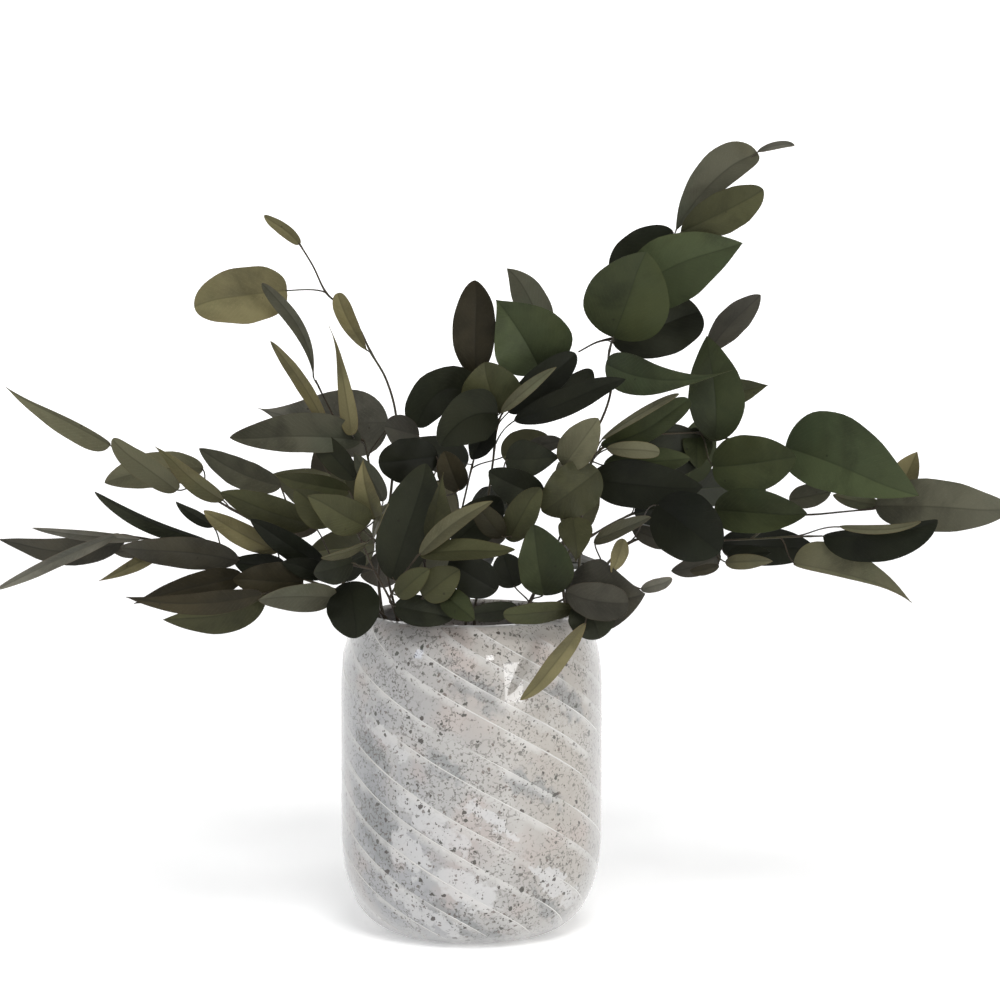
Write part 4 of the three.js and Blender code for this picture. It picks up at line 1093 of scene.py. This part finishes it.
class Leaf:
    """One leaf row, with the directions of its blade and its own small irregularities."""

    def __init__(self, row, rng):
        settings = row[6:] + [0, LEAF_ENDS][len(row) - ROW_LENGTH:]
        self.width, roll, bow, sweep, fold, peak, self.tone, skew, ends = settings
        self.base = point(row[0:3])
        ahead = point(row[3:6]) - self.base
        self.length = ahead.length
        self.ahead = ahead.normalized()
        front = (Vector((0, -1, 0)) + self.ahead * self.ahead.y).normalized()
        self.face = Quaternion(self.ahead, math.radians(-roll)) @ front
        self.right = self.ahead.cross(self.face)
        self.bow = bow / 100
        self.sweep = sweep / 100
        self.fold = math.radians(fold)
        self.peak = peak / 100
        self.skew = skew / 100
        self.ends = ends / 100
        self.seed = rng.uniform(*SEEDS)
        self.wave = self.width * rng.uniform(*WAVE) * min(1.0, self.width / FULL_WAVE_WIDTH)
        self.nick = rng.uniform(*NICK)
        self.hook = rng.uniform(*HOOK)
        self.curl = rng.uniform(*CURL)
        self.waves = rng.uniform(*WAVES)
        self.phases = [rng.uniform(0, 2 * math.pi) for _ in range(2)]
        self.twist = math.radians(rng.uniform(*TWIST))
        self.cup = rng.uniform(*CUP)

    def share(self, u):
        """How wide the blade is at u, from 0 at its base to 1 at its tip, as a share of its width."""
        if u <= 0 or u >= 1:
            return 0.0
        base_power = self.ends + LATE_POWER * max(0.0, self.peak - LATE_PEAK)
        tip_power = base_power * (1 - self.peak) / self.peak
        return (u / self.peak) ** base_power * ((1 - u) / (1 - self.peak)) ** tip_power

    def midrib(self, u):
        arch = 4 * u * (1 - u) * self.length
        late = max(0.0, u - TIP_START) ** 2 * self.length
        lift = self.bow * arch - self.curl * late
        aside = self.sweep * arch + self.hook * late
        return self.base + self.ahead * (self.length * u) + self.face * lift + self.right * aside

    def directions(self, u):
        """Along the midrib, to its right and out of its face, at u."""
        slope = 4 - 8 * u
        heading = self.ahead + self.face * (self.bow * slope) + self.right * (self.sweep * slope)
        heading = heading.normalized()
        right = (self.right - heading * heading.dot(self.right)).normalized()
        twist = self.twist * (u - TWIST_START) * (1 if u > TWIST_START else BASE_TWIST)
        right = Quaternion(heading, twist) @ right
        return heading, right, right.cross(heading)

    def half(self, u):
        least = BASE_HALF_WIDTH + (TIP_HALF_WIDTH - BASE_HALF_WIDTH) * u
        return max(least, self.width / 2 * self.share(u))

    def section(self, u):
        """Across the blade at u: distance from the midrib, lift, thickness and half width."""
        made = []
        for side, phase in zip((-1, 1), self.phases):
            beat = 2 * math.pi * self.waves * u + phase
            nick = 1 + self.nick * math.sin(NICK_BEAT * beat + self.seed)
            half = max(self.half(u) * (1 + side * self.skew) * nick, TIP_HALF_WIDTH)
            inner = min(MIDRIB_HALF, MIDRIB_HALF_SHARE * half)
            outer = min(MIDRIB_EDGE, MIDRIB_EDGE_SHARE * half)
            places = [0.0, inner, outer]
            places += [outer + (half - outer) * k / SIDE_COLUMNS for k in range(1, SIDE_COLUMNS + 1)]
            ripple = self.wave * math.sin(beat) * math.sin(math.pi * u)
            row = []
            for distance in places:
                v = distance / half
                lift = half * math.sin(self.fold) * v + half * self.cup * v * v + ripple * v ** 2
                thick = BLADE_THICKNESS + (EDGE_THICKNESS - BLADE_THICKNESS) * v
                row.append((side * distance * math.cos(self.fold), lift, thick, half))
            made.append(row)
        left, right = made
        return list(reversed(left[1:])) + right


def blade(mesh, leaf, slot):
    """A blade: its two faces and its rim, with a groove along the midrib and a ridge behind it."""
    sheets = []
    for u in eased(BLADE_ROWS, 0.0, 1.0):
        centre = leaf.midrib(u)
        _, right, face = leaf.directions(u)
        fade = min(1.0, MIDRIB_FADE * (1 - u))
        front = []
        back = []
        for across, lift, thick, half in leaf.section(u):
            rib = math.exp(-(across / MIDRIB_HALF) ** 2) * fade
            spot = centre + right * across + face * lift
            values = (leaf.length * u, across, half, leaf.seed)
            front.append(mesh.add(spot + face * (thick / 2 - MIDRIB_GROOVE * rib), *values, 1.0))
            back.append(mesh.add(spot - face * (thick / 2 + MIDRIB_RIDGE * rib), *values, 0.0))
        sheets.append((front, back))
    for (front, back), (next_front, next_back) in zip(sheets, sheets[1:]):
        for c in range(len(front) - 1):
            mesh.face([front[c], front[c + 1], next_front[c + 1], next_front[c]], slot)
            mesh.face([back[c + 1], back[c], next_back[c], next_back[c + 1]], slot)
        mesh.face([back[0], front[0], next_front[0], next_back[0]], slot)
        mesh.face([front[-1], back[-1], next_back[-1], next_front[-1]], slot)
    for front, back in (sheets[0], sheets[-1]):
        for c in range(len(front) - 1):
            corners = [front[c], back[c], back[c + 1], front[c + 1]]
            mesh.face(corners if front is sheets[0][0] else list(reversed(corners)), slot)


def joint(woods, target):
    """Where a leaf grows from: the nearest place on the wood, then back along it, and its direction."""
    best = None
    for wood in woods:
        for i, place in enumerate(wood):
            distance = (place - target).length
            if best is None or distance < best[2]:
                best = (wood, i, distance)
    wood, i, distance = best
    i = max(1, i - round(JOINT_BACK * distance / WOOD_STEP))
    return wood[i], (wood[i] - wood[i - 1]).normalized()


def stalk(mesh, leaf, woods):
    """A leaf's stalk, one curve from the wood to the midrib; returns where it leaves the wood."""
    a, ahead = joint(woods, leaf.base)
    heading, _, _ = leaf.directions(0.0)
    reach = STALK_HANDLE * (leaf.base - a).length
    direct = (leaf.base - a).normalized()
    b = a + (ahead * STALK_LEAVING + direct * (1 - STALK_LEAVING)) * reach
    c = leaf.base - (heading * STALK_ARRIVING + direct * (1 - STALK_ARRIVING)) * reach
    d = leaf.base + heading * STALK_OVERLAP
    points = []
    radii = []
    for k in range(STALK_STEPS + 1):
        t = k / STALK_STEPS
        near = a * (1 - t) ** 3 + b * (3 * t * (1 - t) ** 2)
        points.append(near + c * (3 * t * t * (1 - t)) + d * t ** 3)
        radii.append(STALK_RADIUS + (STALK_TIP_RADIUS - STALK_RADIUS) * min(1.0, 2 * t))
    tube(mesh, points, radii, STALK_SIDES, leaf.seed)
    return a


def swollen(points, start, end, places):
    """Radii along a stem: an even taper, with a swelling wherever a leaf grows."""
    radii = []
    for i, here in enumerate(points):
        radius = start + (end - start) * i / (len(points) - 1)
        near = min((here - place).length for place in places)
        radii.append(radius * (1 + NODE_SWELL * math.exp(-(near / NODE_REACH) ** 2)))
    return radii


def leafy_stem(stem, bark, leaves, rng):
    """One stem's wood with its twigs and stalks, and its blades."""
    foot, rim = standing(stem)
    inside = spaced([foot, rim], WOOD_STEP)
    line = inside[:-1] + spaced(smooth([rim] + [point(place) for place in stem["path"]]), WOOD_STEP)
    woods = [line]
    for places in stem["twigs"]:
        points = [point(place) for place in places]
        points[0] = joint(woods, points[0])[0].copy()
        woods.append(spaced(smooth(points), WOOD_STEP))
    wood = Mesh()
    blades = Mesh()
    joints = []
    tones = []
    for row in stem["leaves"]:
        leaf = Leaf(row, rng)
        if leaf.tone not in tones:
            tones.append(leaf.tone)
        joints.append(stalk(wood, leaf, woods))
        blade(blades, leaf, tones.index(leaf.tone))
    tapers = [(STEM_RADIUS, STEM_TIP_RADIUS)] + [(TWIG_RADIUS, TWIG_TIP_RADIUS)] * len(stem["twigs"])
    for points, (start, end) in zip(woods, tapers):
        tube(wood, points, swollen(points, start, end, joints), WOOD_SIDES, rng.uniform(*SEEDS))
    pieces = [
        wood.build(stem["name"] + "_wood", [bark]),
        blades.build(stem["name"] + "_leaves", [leaves[tone] for tone in tones]),
    ]
    for piece in pieces:
        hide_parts(stem["name"])
        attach(piece, "root")


def stage():
    """A round pale floor that curves up into a low wall, wider than any camera stands."""
    mesh = Mesh(())
    profile = [(STAGE_RADIUS * STAGE_MIDDLE, 0.0), (STAGE_RADIUS - STAGE_BEND, 0.0)]
    for i in range(1, STAGE_BEND_STEPS + 1):
        angle = math.pi / 2 * i / STAGE_BEND_STEPS
        radius = STAGE_RADIUS - STAGE_BEND * (1 - math.sin(angle))
        profile.append((radius, STAGE_BEND * (1 - math.cos(angle))))
    profile.append((STAGE_RADIUS, STAGE_WALL))
    turns = [2 * math.pi * k / STAGE_COLUMNS for k in range(STAGE_COLUMNS)]
    rings = []
    for radius, z in profile:
        rings.append([mesh.add(Vector((radius * math.cos(a), radius * math.sin(a), z))) for a in turns])
    mesh.face(rings[0])
    mesh.skin(rings[::-1])
    mesh.build("floor", [stage_material()], STAGE_CREASE)


def pointed(name, data, place, aim):
    """A camera or light in the scene, at a place and turned to its aim."""
    made = bpy.data.objects.new(name, data)
    made.location = Vector(place) * MM
    made.rotation_mode = "QUATERNION"
    made.rotation_quaternion = (Vector(aim) - Vector(place)).to_track_quat("-Z", "Y")
    bpy.context.scene.collection.objects.link(made)
    return made


def lights():
    """Soft light from all round, a broad soft key from the upper right, and the lamps."""
    world = bpy.data.worlds.new("soft_studio")
    world.use_nodes = True
    background = world.node_tree.nodes["Background"]
    background.inputs["Color"].default_value = (1.0, 1.0, 1.0, 1.0)
    background.inputs["Strength"].default_value = WORLD_STRENGTH
    bpy.context.scene.world = world
    key = bpy.data.lights.new("key", "SUN")
    key.energy = SUN_STRENGTH
    key.angle = SUN_ANGLE
    pointed("key", key, (0, 0, 0), SUN_AIM).visible_glossy = False
    for name, place, aim, width, height, radiance, colour in LAMPS:
        lamp = bpy.data.lights.new(name, "AREA")
        lamp.shape = "RECTANGLE"
        lamp.size = width * MM
        lamp.size_y = height * MM
        lamp.energy = radiance * math.pi * lamp.size * lamp.size_y
        lamp.color = colour
        pointed(name, lamp, place, aim)


def camera():
    """The camera at the photograph's angle."""
    data = bpy.data.cameras.new("camera")
    data.lens = CAMERA_LENS
    data.sensor_width = CAMERA_SENSOR
    data.clip_end = CAMERA_REACH
    bpy.context.scene.camera = pointed("camera", data, CAMERA_PLACE, CAMERA_AIM)


def main():
    rng = random.Random(SEED)
    camera()
    lights()
    stage()
    vase_body(glass_material())
    vase_threads(thread_material(), rng)
    bark = bark_material()
    leaves = {tone: leaf_material(tone, colour) for tone, colour in TONES.items()}
    for stem in STEMS:
        leafy_stem(stem, bark, leaves, rng)
    bpy.context.scene.view_settings.view_transform = "Standard"


main()
